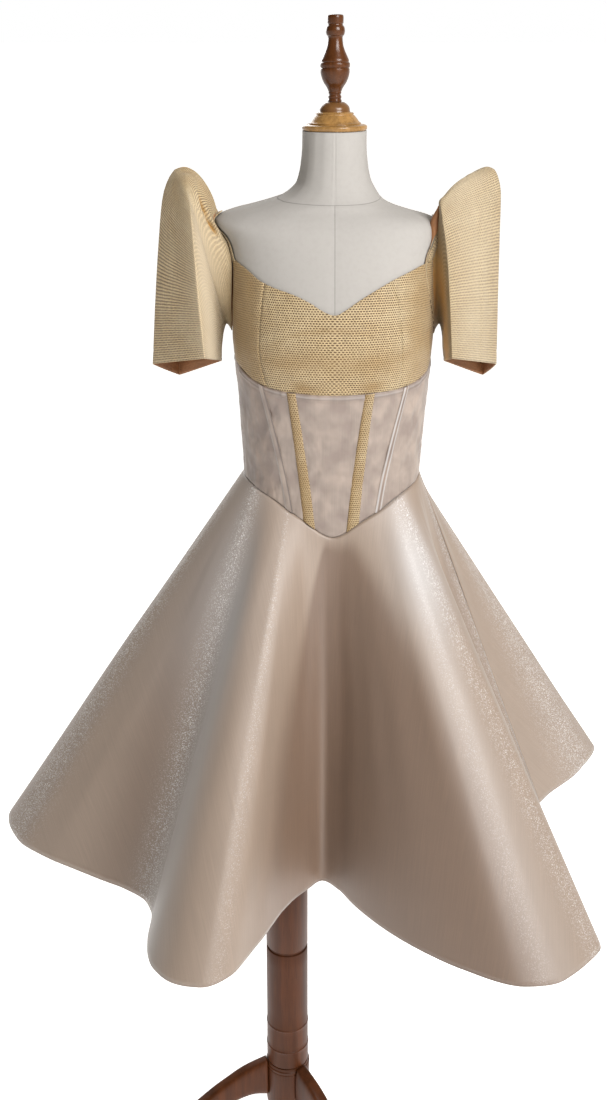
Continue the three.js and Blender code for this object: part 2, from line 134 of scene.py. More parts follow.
def run_lengths(p, axis):
    """Length along a grid's rows or columns, summed from its first point."""
    step = np.linalg.norm(np.diff(p, axis=axis), axis=-1)
    total = np.cumsum(step, axis=axis)
    pad = [(0, 0), (0, 0)]
    pad[axis] = (1, 0)
    return np.pad(total, pad)


# Making objects

def grid_object(name, p, uv, closed=False, cap=False, **marks):
    """A mesh from a grid of points in millimetres, its rows upward and its columns counter-clockwise."""
    rows, cols = p.shape[:2]
    j = np.arange(cols if closed else cols - 1)
    i = np.arange(rows - 1)[:, None]
    k = (j + 1) % cols
    quads = np.stack([i * cols + j, i * cols + k, (i + 1) * cols + k, (i + 1) * cols + j], -1).reshape(-1, 4)
    if closed:
        step = 2 * uv[0, -1, 0] - uv[0, -2, 0] - uv[0, 0, 0]
        uv = np.concatenate([uv, uv[:, :1] + np.array([step, 0.0])], 1)
    ucols = uv.shape[1]
    loops = np.stack([i * ucols + j, i * ucols + j + 1, (i + 1) * ucols + j + 1, (i + 1) * ucols + j], -1)
    mesh = bpy.data.meshes.new(name)
    faces = quads.tolist()
    if cap:
        faces.append(list(range(cols))[::-1])
        faces.append(list(range((rows - 1) * cols, rows * cols)))
    mesh.from_pydata((p.reshape(-1, 3) * MM).tolist(), [], faces)
    layer = mesh.uv_layers.new(name="cloth")
    flat = uv.reshape(-1, 2)[loops.reshape(-1)].ravel() * MM
    data = np.zeros(len(mesh.loops) * 2)
    data[:len(flat)] = flat
    layer.data.foreach_set("uv", data)
    for key, values in marks.items():
        layer = mesh.attributes.new(key, "FLOAT", "POINT")
        layer.data.foreach_set("value", np.broadcast_to(values, p.shape[:2]).astype(float).ravel())
    mesh.shade_smooth()
    obj = bpy.data.objects.new(name, mesh)
    bpy.context.scene.collection.objects.link(obj)
    return obj


def merge_points(obj, distance=1e-6):
    """Join points that fall on one another, as at a pole, and drop the faces that vanish."""
    bm = bmesh.new()
    bm.from_mesh(obj.data)
    bmesh.ops.remove_doubles(bm, verts=bm.verts, dist=distance)
    bmesh.ops.dissolve_degenerate(bm, edges=bm.edges, dist=distance)
    bm.to_mesh(obj.data)
    bm.free()


def stands_for(obj, node):
    """Let a finished piece ride with the part and show in place of its solid."""
    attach(obj, "root")
    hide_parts(node)
    return obj


def cloth_piece(name, p, uv, node, slot, material, thick, held, rests_on, closed=False, lining=None, **marks):
    """A shell of cloth on its grid, given its thickness inward. The size it was cut to is worked out, the
    area of its cells, its longest row and its longest column, but not used."""
    obj = grid_object(name, p, uv, closed, **marks)
    obj.data.materials.append(material)
    wall = obj.modifiers.new("cloth thickness", "SOLIDIFY")
    wall.thickness = thick * MM
    wall.offset = -1.0
    wall.use_even_offset = False
    if lining:
        obj.data.materials.append(lining)
        wall.material_offset = 1
    ring = np.concatenate([p, p[:, :1]], 1) if closed else p
    a = np.cross(ring[1:, 1:] - ring[:-1, :-1], ring[1:, :-1] - ring[:-1, 1:])
    area = 0.5 * np.linalg.norm(a, axis=-1).sum() * MM * MM
    width = run_lengths(ring, 1)[:, -1].max() * MM
    length = run_lengths(ring, 0)[-1].max() * MM
    width = max(width, area / length * 1.001)
    stands_for(obj, node)
    return obj


# Node trees and finishes

class Tree:
    """A small helper that adds nodes to a tree and joins them in the order they are written."""

    def __init__(self, tree):
        self.tree = tree

    def add(self, kind, **settings):
        """A new node, with its settings."""
        node = self.tree.nodes.new("ShaderNode" + kind)
        for key, value in settings.items():
            setattr(node, key, value)
        return node

    def put(self, socket, value):
        """Join another node's socket, or set a plain value."""
        if isinstance(value, bpy.types.NodeSocket):
            self.tree.links.new(value, socket)
        else:
            socket.default_value = value

    def math(self, operation, *values):
        node = self.add("Math", operation=operation)
        for socket, value in zip(node.inputs, values):
            self.put(socket, value)
        return node.outputs[0]

    def plus(self, a, b):
        return self.math("ADD", a, b)

    def minus(self, a, b):
        return self.math("SUBTRACT", a, b)

    def times(self, a, b):
        return self.math("MULTIPLY", a, b)

    def times_plus(self, a, b, c):
        return self.math("MULTIPLY_ADD", a, b, c)

    def power(self, a, b):
        return self.math("POWER", a, b)

    def wave(self, turns):
        """A wave from 0 to 1 that is highest at each whole turn."""
        return self.times_plus(self.math("COSINE", self.times(turns, 2 * math.pi)), 0.5, 0.5)

    def split(self, vector):
        node = self.add("SeparateXYZ")
        self.put(node.inputs[0], vector)
        return node.outputs

    def ramp(self, value, stops):
        """A level or a colour that follows its stops, each a place and what it is there."""
        node = self.add("ValToRGB")
        self.put(node.inputs[0], value)
        elements = node.color_ramp.elements
        while len(elements) < len(stops):
            elements.new(0.5)
        for element, (at, level) in zip(elements, stops):
            element.position = at
            element.color = (level, level, level, 1) if isinstance(level, (int, float)) else (*level, 1)
        return node.outputs[0]

    def mix(self, share, a, b, blend="MIX"):
        node = self.add("Mix", data_type="RGBA", blend_type=blend)
        self.put(node.inputs["Factor"], share)
        self.put(node.inputs[6], a if isinstance(a, bpy.types.NodeSocket) else (*a, 1))
        self.put(node.inputs[7], b if isinstance(b, bpy.types.NodeSocket) else (*b, 1))
        return node.outputs[2]


class Finish(Tree):
    """A material with one principled shader. Its patterns follow the piece's own map, marks or place."""

    def __init__(self, name):
        self.material = bpy.data.materials.new(name)
        self.material.use_nodes = True
        super().__init__(self.material.node_tree)
        self.tree.nodes.clear()
        out = self.add("OutputMaterial")
        self.shader = self.add("BsdfPrincipled")
        self.tree.links.new(self.shader.outputs[0], out.inputs[0])

    def set(self, **values):
        """Set or join the shader's sockets, their names written with underscores."""
        for key, value in values.items():
            self.put(self.shader.inputs[key.replace("_", " ")], value)

    def uv(self):
        return self.add("UVMap", uv_map="cloth").outputs[0]

    def mark(self, name):
        return self.add("Attribute", attribute_name=name).outputs["Fac"]

    def place(self):
        return self.add("TexCoord").outputs["Object"]

    def stretch(self, vector, scale):
        node = self.add("Mapping")
        self.put(node.inputs["Vector"], vector)
        node.inputs["Scale"].default_value = scale
        return node.outputs[0]

    def noise(self, vector, scale, detail=3.0, rough=0.5):
        node = self.add("TexNoise")
        self.put(node.inputs["Vector"], vector)
        node.inputs["Scale"].default_value = scale
        node.inputs["Detail"].default_value = detail
        node.inputs["Roughness"].default_value = rough
        return node.outputs["Fac"]

    def threads(self, uv, across, along, detail=2.0, rough=0.5):
        """Streaky noise on the cloth's map, so many to the metre across and along."""
        return self.noise(self.stretch(uv, (across, along, 1)), 1.0, detail, rough)

    def toward(self, base, value, start, stop, most, colour):
        """The base colour, going over to another as a value rises from start to stop, and so far at most."""
        return self.mix(self.ramp(value, [(start, 0.0), (stop, most)]), base, colour)

    def relief(self, height, distance, strength=1.0, normal=None):
        node = self.add("Bump")
        node.inputs["Distance"].default_value = distance
        node.inputs["Strength"].default_value = strength
        self.put(node.inputs["Height"], height)
        if normal is not None:
            self.put(node.inputs["Normal"], normal)
        return node.outputs[0]


def scaled(colour, by):
    """A colour made lighter or darker, no channel over 1."""
    return tuple(min(1.0, channel * by) for channel in colour[:3])


def tinted(colour, tint):
    """A colour multiplied by another, channel by channel."""
    return tuple(a * b for a, b in zip(colour, tint))


WHITE = (1, 1, 1)
GOLD_WORN = (0.97, 0.88, 0.74)
# Painted light on the gold cloth where it is in full light.
GOLD_PAINTED_LIGHT = (0.57, 0.48, 0.345)
SATIN_PAINTED_CREASE_SHADE = (0.72, 0.66, 0.66)
SATIN_SHADE = (0.55, 0.43, 0.33)
SATIN_PAINTED_HIGHLIGHT = (0.40, 0.385, 0.38)
STITCH_LINE = (0.05, 0.03, 0.02)
# Near-white colours of the glitter flecks, painted as glints.
GLITTER_COOL = (0.98, 0.99, 0.92)
GLITTER_LILAC = (0.92, 0.90, 0.98)
CAP_DOME = (0.10, 0.04, 0.012)
CANVAS_PITCH = 0.0011
NECK_RING_Z = 1.652


def gold_cloth(sizes, name="gold basket weave", tone=0.98, deep=1.0):
    """Coarse basket weave: light yarns with rows of staggered dark gaps. The rows wander a little, and the
    gaps open and close from place to place. Two marks paint light and shade: the fold mark mixes in painted
    shade deep in a fold, and painted light where `deep` lifts its colour over the yarns'. The pale mark
    mixes in painted light where the cloth is in full light. `tone` scales the yarns' colour, which gives
    lit and shaded copies of the weave, and `deep` scales that of the fold mark."""
    n = Finish(name)
    gold = scaled(sizes.gold, tone)
    uv = n.uv()
    x, y, _ = n.split(uv)
    wander = n.times_plus(n.noise(uv, 70.0, 2.0), 0.0012, -0.0006)
    up = n.math("DIVIDE", n.plus(y, wander), sizes.weave_up)
    across = n.math("DIVIDE", n.plus(x, n.times(wander, 1.3)), sizes.weave_across)
    stagger = n.times(n.math("FLOOR", up), 0.5)
    gap_across = n.wave(n.plus(across, stagger))
    gap_up = n.wave(n.minus(up, 0.5))
    dots = n.times(n.power(gap_across, 1.3), n.power(gap_up, 1.6))
    lines = n.power(gap_up, 4.0)
    yarn = n.threads(uv, 160, 700)
    upright_yarn = n.threads(uv, 330, 40)
    worn = n.threads(uv, 16, 30, 4.0, 0.65)
    open_gaps = n.ramp(worn, [(0.30, 0.55), (0.60, 1.0)])
    dark = n.times(n.times_plus(dots, 1.1, n.times(lines, 0.1)), open_gaps)
    dark = n.ramp(dark, [(0.05, 0.0), (0.43, 1.0)])
    base = n.toward(scaled(gold, 0.84), yarn, 0.3, 0.7, 1.0, scaled(gold, 1.2))
    base = n.toward(base, upright_yarn, 0.4, 0.72, 0.55, scaled(gold, 1.34))
    base = n.mix(1.0, base, n.toward(WHITE, worn, 0.35, 0.7, 0.8, GOLD_WORN), "MULTIPLY")
    base = n.mix(dark, base, scaled(sizes.gold_gap, tone))
    # The fold mark mixes in painted shade, which turns to painted light where deep raises its colour over the
    # yarns'.
    base = n.mix(n.mark("hollow"), base, scaled(sizes.hollow, deep))
    # The pale mark mixes in painted light.
    base = n.mix(n.mark("pale"), base, scaled(GOLD_PAINTED_LIGHT, tone))
    height = n.minus(n.times(yarn, 0.35), dark)
    n.set(Base_Color=base, Roughness=0.58, Normal=n.relief(height, 0.0009, 0.8),
          Sheen_Weight=0.12, Sheen_Roughness=0.4, Specular_IOR_Level=0.4)
    return n.material


def lining_cloth(sizes):
    """The inside of a sleeve: the back of the weave, warm orange brown."""
    n = Finish("sleeve inside")
    yarn = n.threads(n.uv(), 160, 600)
    cloud = n.noise(n.place(), 26.0, 3.0)
    base = n.toward(scaled(sizes.lining, 0.75), yarn, 0.3, 0.7, 1.0, scaled(sizes.lining, 1.25))
    base = n.toward(base, cloud, 0.4, 0.7, 0.6, scaled(sizes.lining, 0.6))
    n.set(Base_Color=base, Roughness=0.7, Normal=n.relief(yarn, 0.0005, 0.5))
    return n.material


def satin_cloth(name, sizes, tint, mottle, crinkle, glitter):
    """Champagne satin: fine threads along the grain and a soft wide shine, with clouds as strong as
    `mottle` and small creases as strong as `crinkle`, painted darker in their troughs and lighter on
    their tops as painted shade and highlight. Marks: one paints shade where a fold shades the cloth,
    one paints a highlight where the cloth is in full light, `line` is a stitched line, and one is fine
    glitter whose flecks tilt at random and lie in small patches, painted near white along streaks as
    painted glints."""
    n = Finish(name)
    satin = tinted(sizes.satin, tint)
    uv = n.uv()
    thread = n.threads(uv, 900, 14)
    slub = n.threads(uv, 260, 5)
    creases = n.threads(uv, 38, 30, 2.0, 0.45)
    cloud = n.noise(n.place(), 13.0, 4.0, 0.6)
    base = n.toward(scaled(satin, 0.9), thread, 0.3, 0.7, 1.0, scaled(satin, 1.08))
    base = n.toward(base, slub, 0.42, 0.75, 0.5, scaled(satin, 0.86))
    base = n.toward(base, cloud, 0.35, 0.7, mottle, scaled(satin, 0.84))
    # Painted shade in the troughs of the small creases and painted highlight on their tops.
    base = n.mix(n.ramp(creases, [(0.36, crinkle), (0.5, 0.0)]), base, tinted(satin, SATIN_PAINTED_CREASE_SHADE))
    base = n.toward(base, creases, 0.5, 0.66, crinkle, scaled(satin, 1.35))
    # Painted shade in folds and on the side away from the light.
    base = n.mix(1.0, base, n.mix(n.mark("valley"), WHITE, SATIN_SHADE), "MULTIPLY")
    # Painted highlight where the cloth is in full light.
    base = n.mix(n.mark("crest"), base, SATIN_PAINTED_HIGHLIGHT)
    base = n.mix(n.mark("line"), base, STITCH_LINE)
    cells = n.add("TexVoronoi", feature="F1")
    cells.inputs["Scale"].default_value = 1.0
    n.put(cells.inputs["Vector"], n.stretch(uv, (1100, 900, 1)))
    spark, tilt, hue = n.split(cells.outputs["Color"])
    veins = n.ramp(n.threads(uv, 420, 300), [(0.40, 1.0), (0.47, 0.0), (0.53, 0.0), (0.60, 1.0)])
    # Glitter flecks, tilted at random for a real sparkle, and painted near white along the streaks as painted
    # glints.
    fleck = n.times(n.ramp(spark, [(0.55, 0.0), (0.8, 1.0)]), veins)
    fleck = n.times(fleck, n.mark("glint"))
    base = n.mix(n.times(fleck, glitter), base, n.mix(hue, GLITTER_COOL, GLITTER_LILAC))
    rough = n.minus(n.times_plus(cloud, 0.10, sizes.satin_rough), n.times(fleck, 0.1))
    height = n.times_plus(thread, 0.5, n.times(fleck, n.minus(tilt, 0.5)))
    creased = n.relief(creases, 0.006 * crinkle, 1.0) if crinkle else None
    n.set(Base_Color=base, Roughness=rough, Normal=n.relief(height, 0.0004, 0.45, creased),
          Metallic=sizes.satin_metal, Specular_IOR_Level=1.0, Coat_Weight=0.6, Coat_Roughness=0.6,
          Coat_IOR=1.6, Sheen_Weight=0.12, Sheen_Roughness=0.3)
    return n.material


def canvas_cloth(sizes):
    """The form's cover: a tight off-white plain weave with faint stains and dark stitched seams, one down
    the middle, which ends at the neck, and one round the neck, a little higher behind."""
    n = Finish("form canvas")
    linen = sizes.linen[:3]
    place = n.place()
    x, y, z = n.split(place)
    weft = n.math("SINE", n.times(z, 2 * math.pi / CANVAS_PITCH))
    warp = n.math("SINE", n.times(n.plus(x, y), 2 * math.pi / CANVAS_PITCH))
    stain = n.noise(place, 7.0, 4.0, 0.6)
    fine = n.noise(place, 160.0, 2.0)
    base = n.toward(linen, stain, 0.35, 0.75, 0.5, scaled(linen, 0.9))
    base = n.toward(base, fine, 0.45, 0.8, 0.35, scaled(linen, 0.86))
    from_middle = n.math("ABSOLUTE", n.minus(x, AXIS_X * MM))
    over_ring = n.minus(n.minus(z, NECK_RING_Z), n.times(y, 0.12))
    beside = n.math("MINIMUM", from_middle, n.math("ABSOLUTE", over_ring))
    on_neck = n.math("GREATER_THAN", over_ring, 0.0)
    beside = n.plus(beside, n.times(on_neck, n.math("MINIMUM", over_ring, 0.01)))
    stitched = n.ramp(n.times(beside, 100.0), [(0.02, 0.5), (0.07, 0.0)])
    base = n.mix(stitched, base, scaled(linen, 0.22))
    n.set(Base_Color=base, Roughness=0.82, Normal=n.relief(n.times(weft, warp), 0.00012, 0.35),
          Specular_IOR_Level=0.3)
    return n.material


def turned_wood(name, colour, gloss, along=(1, 1, 0.06), shine=0.2, dark_above=None):
    """Varnished wood: long fibres along the grain, darker pores and a soft shine, and if asked for a dark
    dome above a height."""
    n = Finish(name)
    colour = colour[:3]
    grain = n.stretch(n.place(), along)
    rings = n.noise(grain, 60.0, 5.0, 0.6)
    pores = n.noise(grain, 380.0, 2.0)
    cloud = n.noise(n.place(), 11.0, 3.0)
    base = n.toward(scaled(colour, 0.66), rings, 0.35, 0.65, 1.0, scaled(colour, 1.3))
    base = n.toward(base, pores, 0.52, 0.75, 0.6, scaled(colour, 0.5))
    base = n.toward(base, cloud, 0.4, 0.75, 0.4, scaled(colour, 0.75))
    if dark_above:
        up = n.times_plus(n.split(n.place())[2], 1000.0, -1000.0 * dark_above)
        base = n.toward(base, up, 0.0, 1.0, 0.85, CAP_DOME)
    n.set(Base_Color=base, Roughness=n.times_plus(rings, 0.16, gloss), Normal=n.relief(rings, 0.0004, 0.3),
          Specular_IOR_Level=shine)
    return n.material


# The torso and the seams drawn on it

TORSO = table("z half front back square", [
    [1090, 122, 88, 90, 2.3], [1130, 129, 95, 97, 2.3], [1200, 126.5, 94, 90, 2.3],
    [1265, 124.5, 92, 84, 2.3], [1320, 127, 98, 86, 2.3], [1370, 130, 106, 90, 2.3],
    [1420, 134, 114, 93, 2.3], [1470, 137, 117, 95, 2.3], [1510, 137.5, 110, 95, 2.3],
    [1550, 138, 96, 92, 2.3], [1580, 141, 86, 87, 2.3], [1600, 145, 79, 81, 2.3],
    [1615, 146, 73, 75, 2.3], [1624, 141, 68, 71, 2.25], [1630, 129, 64, 68, 2.2],
    [1636, 107, 60, 65, 2.15], [1643, 84, 57, 61, 2.1], [1650, 69, 53, 57, 2.05],
    [1660, 58, 49.5, 53, 2], [1672, 50, 46.5, 49, 2], [1690, 45.5, 44, 45.5, 2],
    [1715, 43, 43, 43, 2], [1735, 42.5, 42.5, 42.5, 2]])
SHOULDER_Z = 1575
SHOULDER_CAP_Z = 1620
NECK_FOOT_Z = 1668


def torso(deg, z):
    """A point of the torso: a rounded oval at each height, deeper in front or behind as its columns say.
    The left shoulder sits 6 mm higher than its row and is fuller, the right one 4 mm lower."""
    deg, z = np.broadcast_arrays(np.asarray(deg, float), np.asarray(z, float))
    a = np.radians(deg)
    c = np.cos(a)
    s = np.sin(a)
    power = 2 / TORSO["square"](z)
    depth = np.where(s > 0, TORSO["back"](z), TORSO["front"](z))
    shoulder = np.clip((z - SHOULDER_Z) / 30, 0, 1) * np.clip((NECK_FOOT_Z - z) / 20, 0, 1)
    fuller = 16 * np.maximum(0, -c) * bump(z, SHOULDER_CAP_Z, 15)
    half = TORSO["half"](z + (5 * c - 1) * shoulder) + fuller
    x = AXIS_X + half * np.sign(c) * np.abs(c) ** power
    y = depth * np.sign(s) * np.abs(s) ** power
    return np.stack([x, y, z + 0 * x], -1)


def off_torso(deg, z, off):
    """A point moved off the torso, square to its surface."""
    a = torso(deg + 0.6, z) - torso(deg - 0.6, z)
    b = torso(deg, z + 1.5) - torso(deg, z - 1.5)
    return torso(deg, z) + unit(np.cross(a, b)) * np.asarray(off)[..., None]


# Seams: heights by angle for the ones that run round, and angles by height for the upright ones.
NECKLINE = curve(
    [202, 215, 229, 239, 249, 259, 266, 270, 274, 281, 290, 299, 309, 322, 338],
    [1572, 1564, 1550, 1543, 1537, 1527, 1516, 1512, 1518, 1530, 1542, 1552, 1560, 1568, 1575])
GOLD_FRONT = curve(
    [180, 192, 203, 215, 230, 250, 270, 290, 310, 325, 337, 348, 360],
    [1439, 1436, 1430, 1421, 1413, 1408, 1406, 1408, 1411, 1416, 1422, 1430, 1439])
BASQUE_FRONT = curve(
    [180, 192, 205, 218, 229, 244, 254, 260, 265, 270, 275, 280, 286, 296, 311, 322, 335, 348, 360],
    [1266, 1264, 1260, 1254, 1248, 1233, 1220, 1210, 1201, 1196, 1201, 1210, 1219, 1231, 1247, 1255,
     1260, 1264, 1266])
PRINCESS_LEFT = curve([1408, 1431, 1464, 1510, 1552], [231.5, 228.6, 226.5, 228.2, 231.6])
PRINCESS_RIGHT = curve([1408, 1440, 1473, 1514, 1553], [308.2, 308.2, 307.4, 305.2, 299.3])
TAPE_LEFT = curve([1200, 1300, 1408], [258.4, 253.2, 247.8])
TAPE_RIGHT = curve([1200, 1300, 1408], [279.8, 283.6, 287.8])
OUTER_LEFT = curve([1230, 1320, 1414], [244.8, 236.5, 226.3])
OUTER_RIGHT = curve([1225, 1320, 1414], [296.2, 304.5, 313.8])
# Top edges beside the arms and behind: height by angle from the side or from the back's side.
UNDERARM_LEFT = curve([0, 4, 8, 11, 14, 17, 24], [1466, 1470, 1484, 1506, 1540, 1574, 1640])
UNDERARM = curve([0, 5, 10, 14, 18, 22, 30], [1466, 1470, 1484, 1506, 1540, 1572, 1640])
BACK_NECK = curve([0, 5, 10, 14, 18, 22, 30, 50, 70, 90],
                  [1466, 1470, 1482, 1502, 1532, 1560, 1556, 1540, 1530, 1527])


def gold_seam(deg):
    """Height of the seam between the gold bodice and the corset."""
    return np.where(deg < 180, 1439.0, GOLD_FRONT(deg))


def basque(deg):
    """Height of the corset's lower edge: pointed in front and a shallow curve behind."""
    return np.where(deg < 180, 1266 - 8 * np.sin(np.radians(deg)), BASQUE_FRONT(deg))


def top_front(deg):
    """Height of the bodice's top edge in front: the neckline or the armhole, whichever is lower."""
    arm = np.where(deg < 270, UNDERARM_LEFT(deg - 180), UNDERARM(360 - deg))
    return np.minimum(arm, NECKLINE(deg))


def top_back(deg):
    """Height of the bodice's top edge behind, the same on both sides."""
    return BACK_NECK(np.minimum(deg, 180 - deg))


def upright(deg):
    """A side seam at one angle."""
    return lambda z: deg + 0 * z


def edge_spread(count):
    """Stations from 0 to 1 that lie closer together near both ends."""
    t = np.linspace(0, 1, count)
    return 0.55 * t + 0.45 * (0.5 - 0.5 * np.cos(np.pi * t))


def chart(left, right, bottom, top, cols, rows):
    """Angles and heights of a panel's grid: each point lies the same share of the way between the side
    seams at its own height, and between the lower and upper seams at its own angle."""
    u = edge_spread(cols)[None, :]
    v = edge_spread(rows)[:, None]
    z = np.full((rows, cols), 1350.0)
    for _ in range(14):
        deg = left(z) + (right(z) - left(z)) * u
        z = bottom(deg) + (top(deg) - bottom(deg)) * v
    return deg, z


def edge_distance(deg, z, off):
    """Distance of each grid point from the left, right, lower and upper edges, in millimetres."""
    p = off_torso(deg, z, np.full_like(z, off))
    across = run_lengths(p, 1)
    up = run_lengths(p, 0)
    return across, across[:, -1:] - across, up, up[-1:] - up


def body_panel(name, left, right, bottom, top, cols, rows, form, depth, material, slot, marks,
               off=FORM_GAP, thick=CLOTH, seams="lrbt"):
    """A panel of cloth on the torso. Its joined edges sink into a seam and its free edges roll under;
    `form` adds the panel's own fullness and creases from the angle, the height and the edge distances,
    as deep as `depth` says, and `marks` says from the same values how its colour changes: painted shade
    and light, and stitched lines."""
    deg, z = chart(left, right, bottom, top, cols, rows)
    edges = edge_distance(deg, z, off + thick)
    height = np.full_like(z, off + thick)
    for key, d in zip("lrbt", edges):
        sink = 0.95 if key in seams else 0.5
        height = height - sink * bump(d, 0, 1.7)
        pucker = soft_noise(deg * 0.55, z * 0.11, 7) * bump(d, 0, 9.0)
        height = height + (0.28 if key in seams else 0.12) * pucker
    height = height + depth * form(deg, z, edges)
    p = off_torso(deg, z, np.maximum(height, off + 0.45))
    uv = np.stack([(deg - CENTRE_FRONT) * math.radians(1) * 128, z], -1)
    return cloth_piece(name, p, uv, name, slot, material, thick * 0.9, "stretched", ["form_torso_cover"],
                       **marks(deg, z, edges))


def tape(name, seam, width, off, thick, material, slot, form, marks):
    """A narrow tape or channel on the corset: the panel's own points moved out, crowned across. `form` and
    `marks` follow the place across it, from -1 to 1."""
    def half(z):
        return width / 2 / (TORSO["front"](z) * 0.0195)

    deg, z = chart(lambda q: seam(q) - half(q), lambda q: seam(q) + half(q),
                   lambda d: basque(d) + 0.4, lambda d: gold_seam(d) - 0.4, 17, 150)
    across, back, up, down = edge_distance(deg, z, off)
    middle = across / (across + back + 1e-9) * 2 - 1
    height = off + thick * (1 - 0.55 * middle ** 4) + form(middle, z)
    p = off_torso(deg, z, height)
    uv = np.stack([across, z], -1)
    return cloth_piece(name, p, uv, name, slot, material, thick * 0.8, "stretched", ["corset_front_center"],
                       **marks(middle))


# Settings

def length_setting(name, description, default):
    """A small length that a user can change."""
    return bpy.props.FloatProperty(
        name=name, description=description, default=default, min=0.001, max=0.01, unit="LENGTH", precision=4)


def share_setting(name, description, default, low=0.0, high=1.0):
    """A share or strength that a user can change."""
    return bpy.props.FloatProperty(
        name=name, description=description, default=default, min=low, max=high, subtype="FACTOR")


def colour_setting(name, description, default):
    """A colour that a user can change."""
    return bpy.props.FloatVectorProperty(
        name=name, description=description, default=default, min=0.0, max=1.0, subtype="COLOR", size=3)


class GownSizes(bpy.types.PropertyGroup):
    """Sizes, strengths and colours of the gown's cloth and of the form."""
    weave_across: length_setting("Weave across", "Width of one repeat of the gold weave", 0.0034)
    weave_up: length_setting("Weave up", "Height of one row of the gold weave", 0.0030)
    crease_depth: share_setting("Crease depth", "How strong the soft creases of the cloth are", 1.0, 0.0, 2.0)
    # How strongly the glitter flecks are painted near white as glints.
    glitter: share_setting("Glitter", "How bright the flecks in the skirt satin are", 0.75)
    gold: colour_setting("Gold yarn", "Colour of the gold yarns", (0.40, 0.312, 0.185))
    gold_gap: colour_setting("Gold gaps", "Colour between the gold yarns", (0.085, 0.048, 0.018))
    # Colour painted into the gold cloth as shade in folds; scaled up on the right sleeve it is painted light.
    hollow: colour_setting("Gold in folds", "Colour of the gold cloth deep in a fold", (0.22, 0.125, 0.035))
    satin: colour_setting("Satin", "Colour of the champagne satin", (0.265, 0.193, 0.145))
    satin_rough: share_setting("Satin roughness", "How wide the satin's soft shine spreads", 0.55, 0.1, 0.9)
    satin_metal: share_setting("Satin metal", "How metallic the satin's shine is", 0.0)
    lining: colour_setting("Sleeve inside", "Colour of the inside of the sleeves", (0.30, 0.13, 0.05))
    linen: colour_setting("Form cover", "Colour of the form's canvas", (0.35, 0.332, 0.31))
    cap_wood: colour_setting("Cap wood", "Colour of the neck cap", (0.31, 0.165, 0.05))
    finial_wood: colour_setting("Finial wood", "Colour of the finial", (0.075, 0.024, 0.006))
    pole_wood: colour_setting("Pole wood", "Colour of the pole and legs", (0.080, 0.023, 0.006))


# Form and stand

FOOT_RINGS = [(0.0, 0.0), (0.5, 0.0), (0.9, 0.3), (0.95, 1.4), (0.985, 4.0)]
FORM_FOOT_ROLL = 8


def cover_relief(deg, z):
    """Height of the form's cover off the torso: sunk at the middle, back, side and neck seams, with soft
    slack over the bust and fine pulls beside the middle seam."""
    from_front = np.abs(deg - CENTRE_FRONT)
    from_back = np.abs(deg - 90)
    from_side = np.minimum(np.minimum(deg, 360 - deg), np.abs(deg - 180))
    neck = NECK_RING_Z / MM + 7 * np.sin(np.radians(deg))
    seam = 0.55 * bump(from_front, 0, 0.9) + 0.45 * bump(from_back, 0, 0.9) + 0.4 * bump(from_side, 0, 0.9)
    seam = seam + 0.5 * bump(z, neck, 1.0)
    pulls = 0.18 * soft_noise(deg / 3, z / 90, 4) * bump(from_front, 0, 6)
    slack = 0.35 * soft_noise(deg / 11, z / 30, 3) + pulls
    return slack * (z > 1400) - seam - 0.15


class GOWN_OT_form(bpy.types.Operator):
    """Make the padded torso with its canvas cover and seams"""
    bl_idname = "gown.form"
    bl_label = "Dress form"

    def execute(self, context):
        body = np.linspace(FORM_FOOT_Z, 1600, 64)
        shoulders = np.linspace(1602, 1680, 56)
        neck = np.linspace(1682, 1735, 22)
        deg, z = np.meshgrid(np.linspace(0, 360, 241)[:-1], np.concatenate([body, shoulders, neck]))
        p = off_torso(deg, z, cover_relief(deg, z))
        rings = []
        for shrink, drop in FOOT_RINGS:
            ring = p[:1].copy()
            ring[..., 0] = AXIS_X + (ring[..., 0] - AXIS_X) * shrink
            ring[..., 1] = ring[..., 1] * shrink
            ring[..., 2] = FORM_FOOT_Z + drop
            rings.append(ring)
        p[0, :, 2] = FORM_FOOT_Z + FORM_FOOT_ROLL
        lid = p[-1:].copy()
        lid[..., 0] = AXIS_X
        lid[..., 1] = 0
        p = np.concatenate(rings + [p, lid], 0)
        uv = np.stack([np.broadcast_to(deg[:1] * 2.2, p.shape[:2]), p[..., 2]], -1)
        obj = grid_object("form_torso_cover", p, uv, closed=True)
        merge_points(obj)
        obj.data.materials.append(canvas_cloth(context.scene.gown_sizes))
        stands_for(obj, "form_torso")
        return {"FINISHED"}


def turned_piece(name, node, x, profile, material, steps=6, around=72):
    """A piece turned on a lathe: its profile, radius by height, eased between rows and swept round."""
    rows = np.asarray([[0.0, profile[0][1]]] + profile + [[0.0, profile[-1][1]]], float)
    step = np.maximum(np.linalg.norm(np.diff(rows, axis=0), axis=1), 1e-3)
    run = np.concatenate([[0], np.cumsum(step)])
    spans = [np.linspace(a, b, steps, endpoint=False) for a, b in zip(run[:-1], run[1:])]
    t = np.concatenate(spans + [run[-1:]])
    r = curve(run, rows[:, 0])(t)[:, None]
    z = curve(run, rows[:, 1])(t)[:, None]
    a = np.linspace(0, 2 * np.pi, around, endpoint=False)[None, :]
    p = np.stack([x + r * np.cos(a), r * np.sin(a), z + 0 * a], -1)
    uv = np.stack([30 * a + 0 * r, z + 0 * a], -1)
    obj = grid_object(name, p, uv, closed=True)
    merge_points(obj)
    obj.data.materials.append(material)
    return stands_for(obj, node)


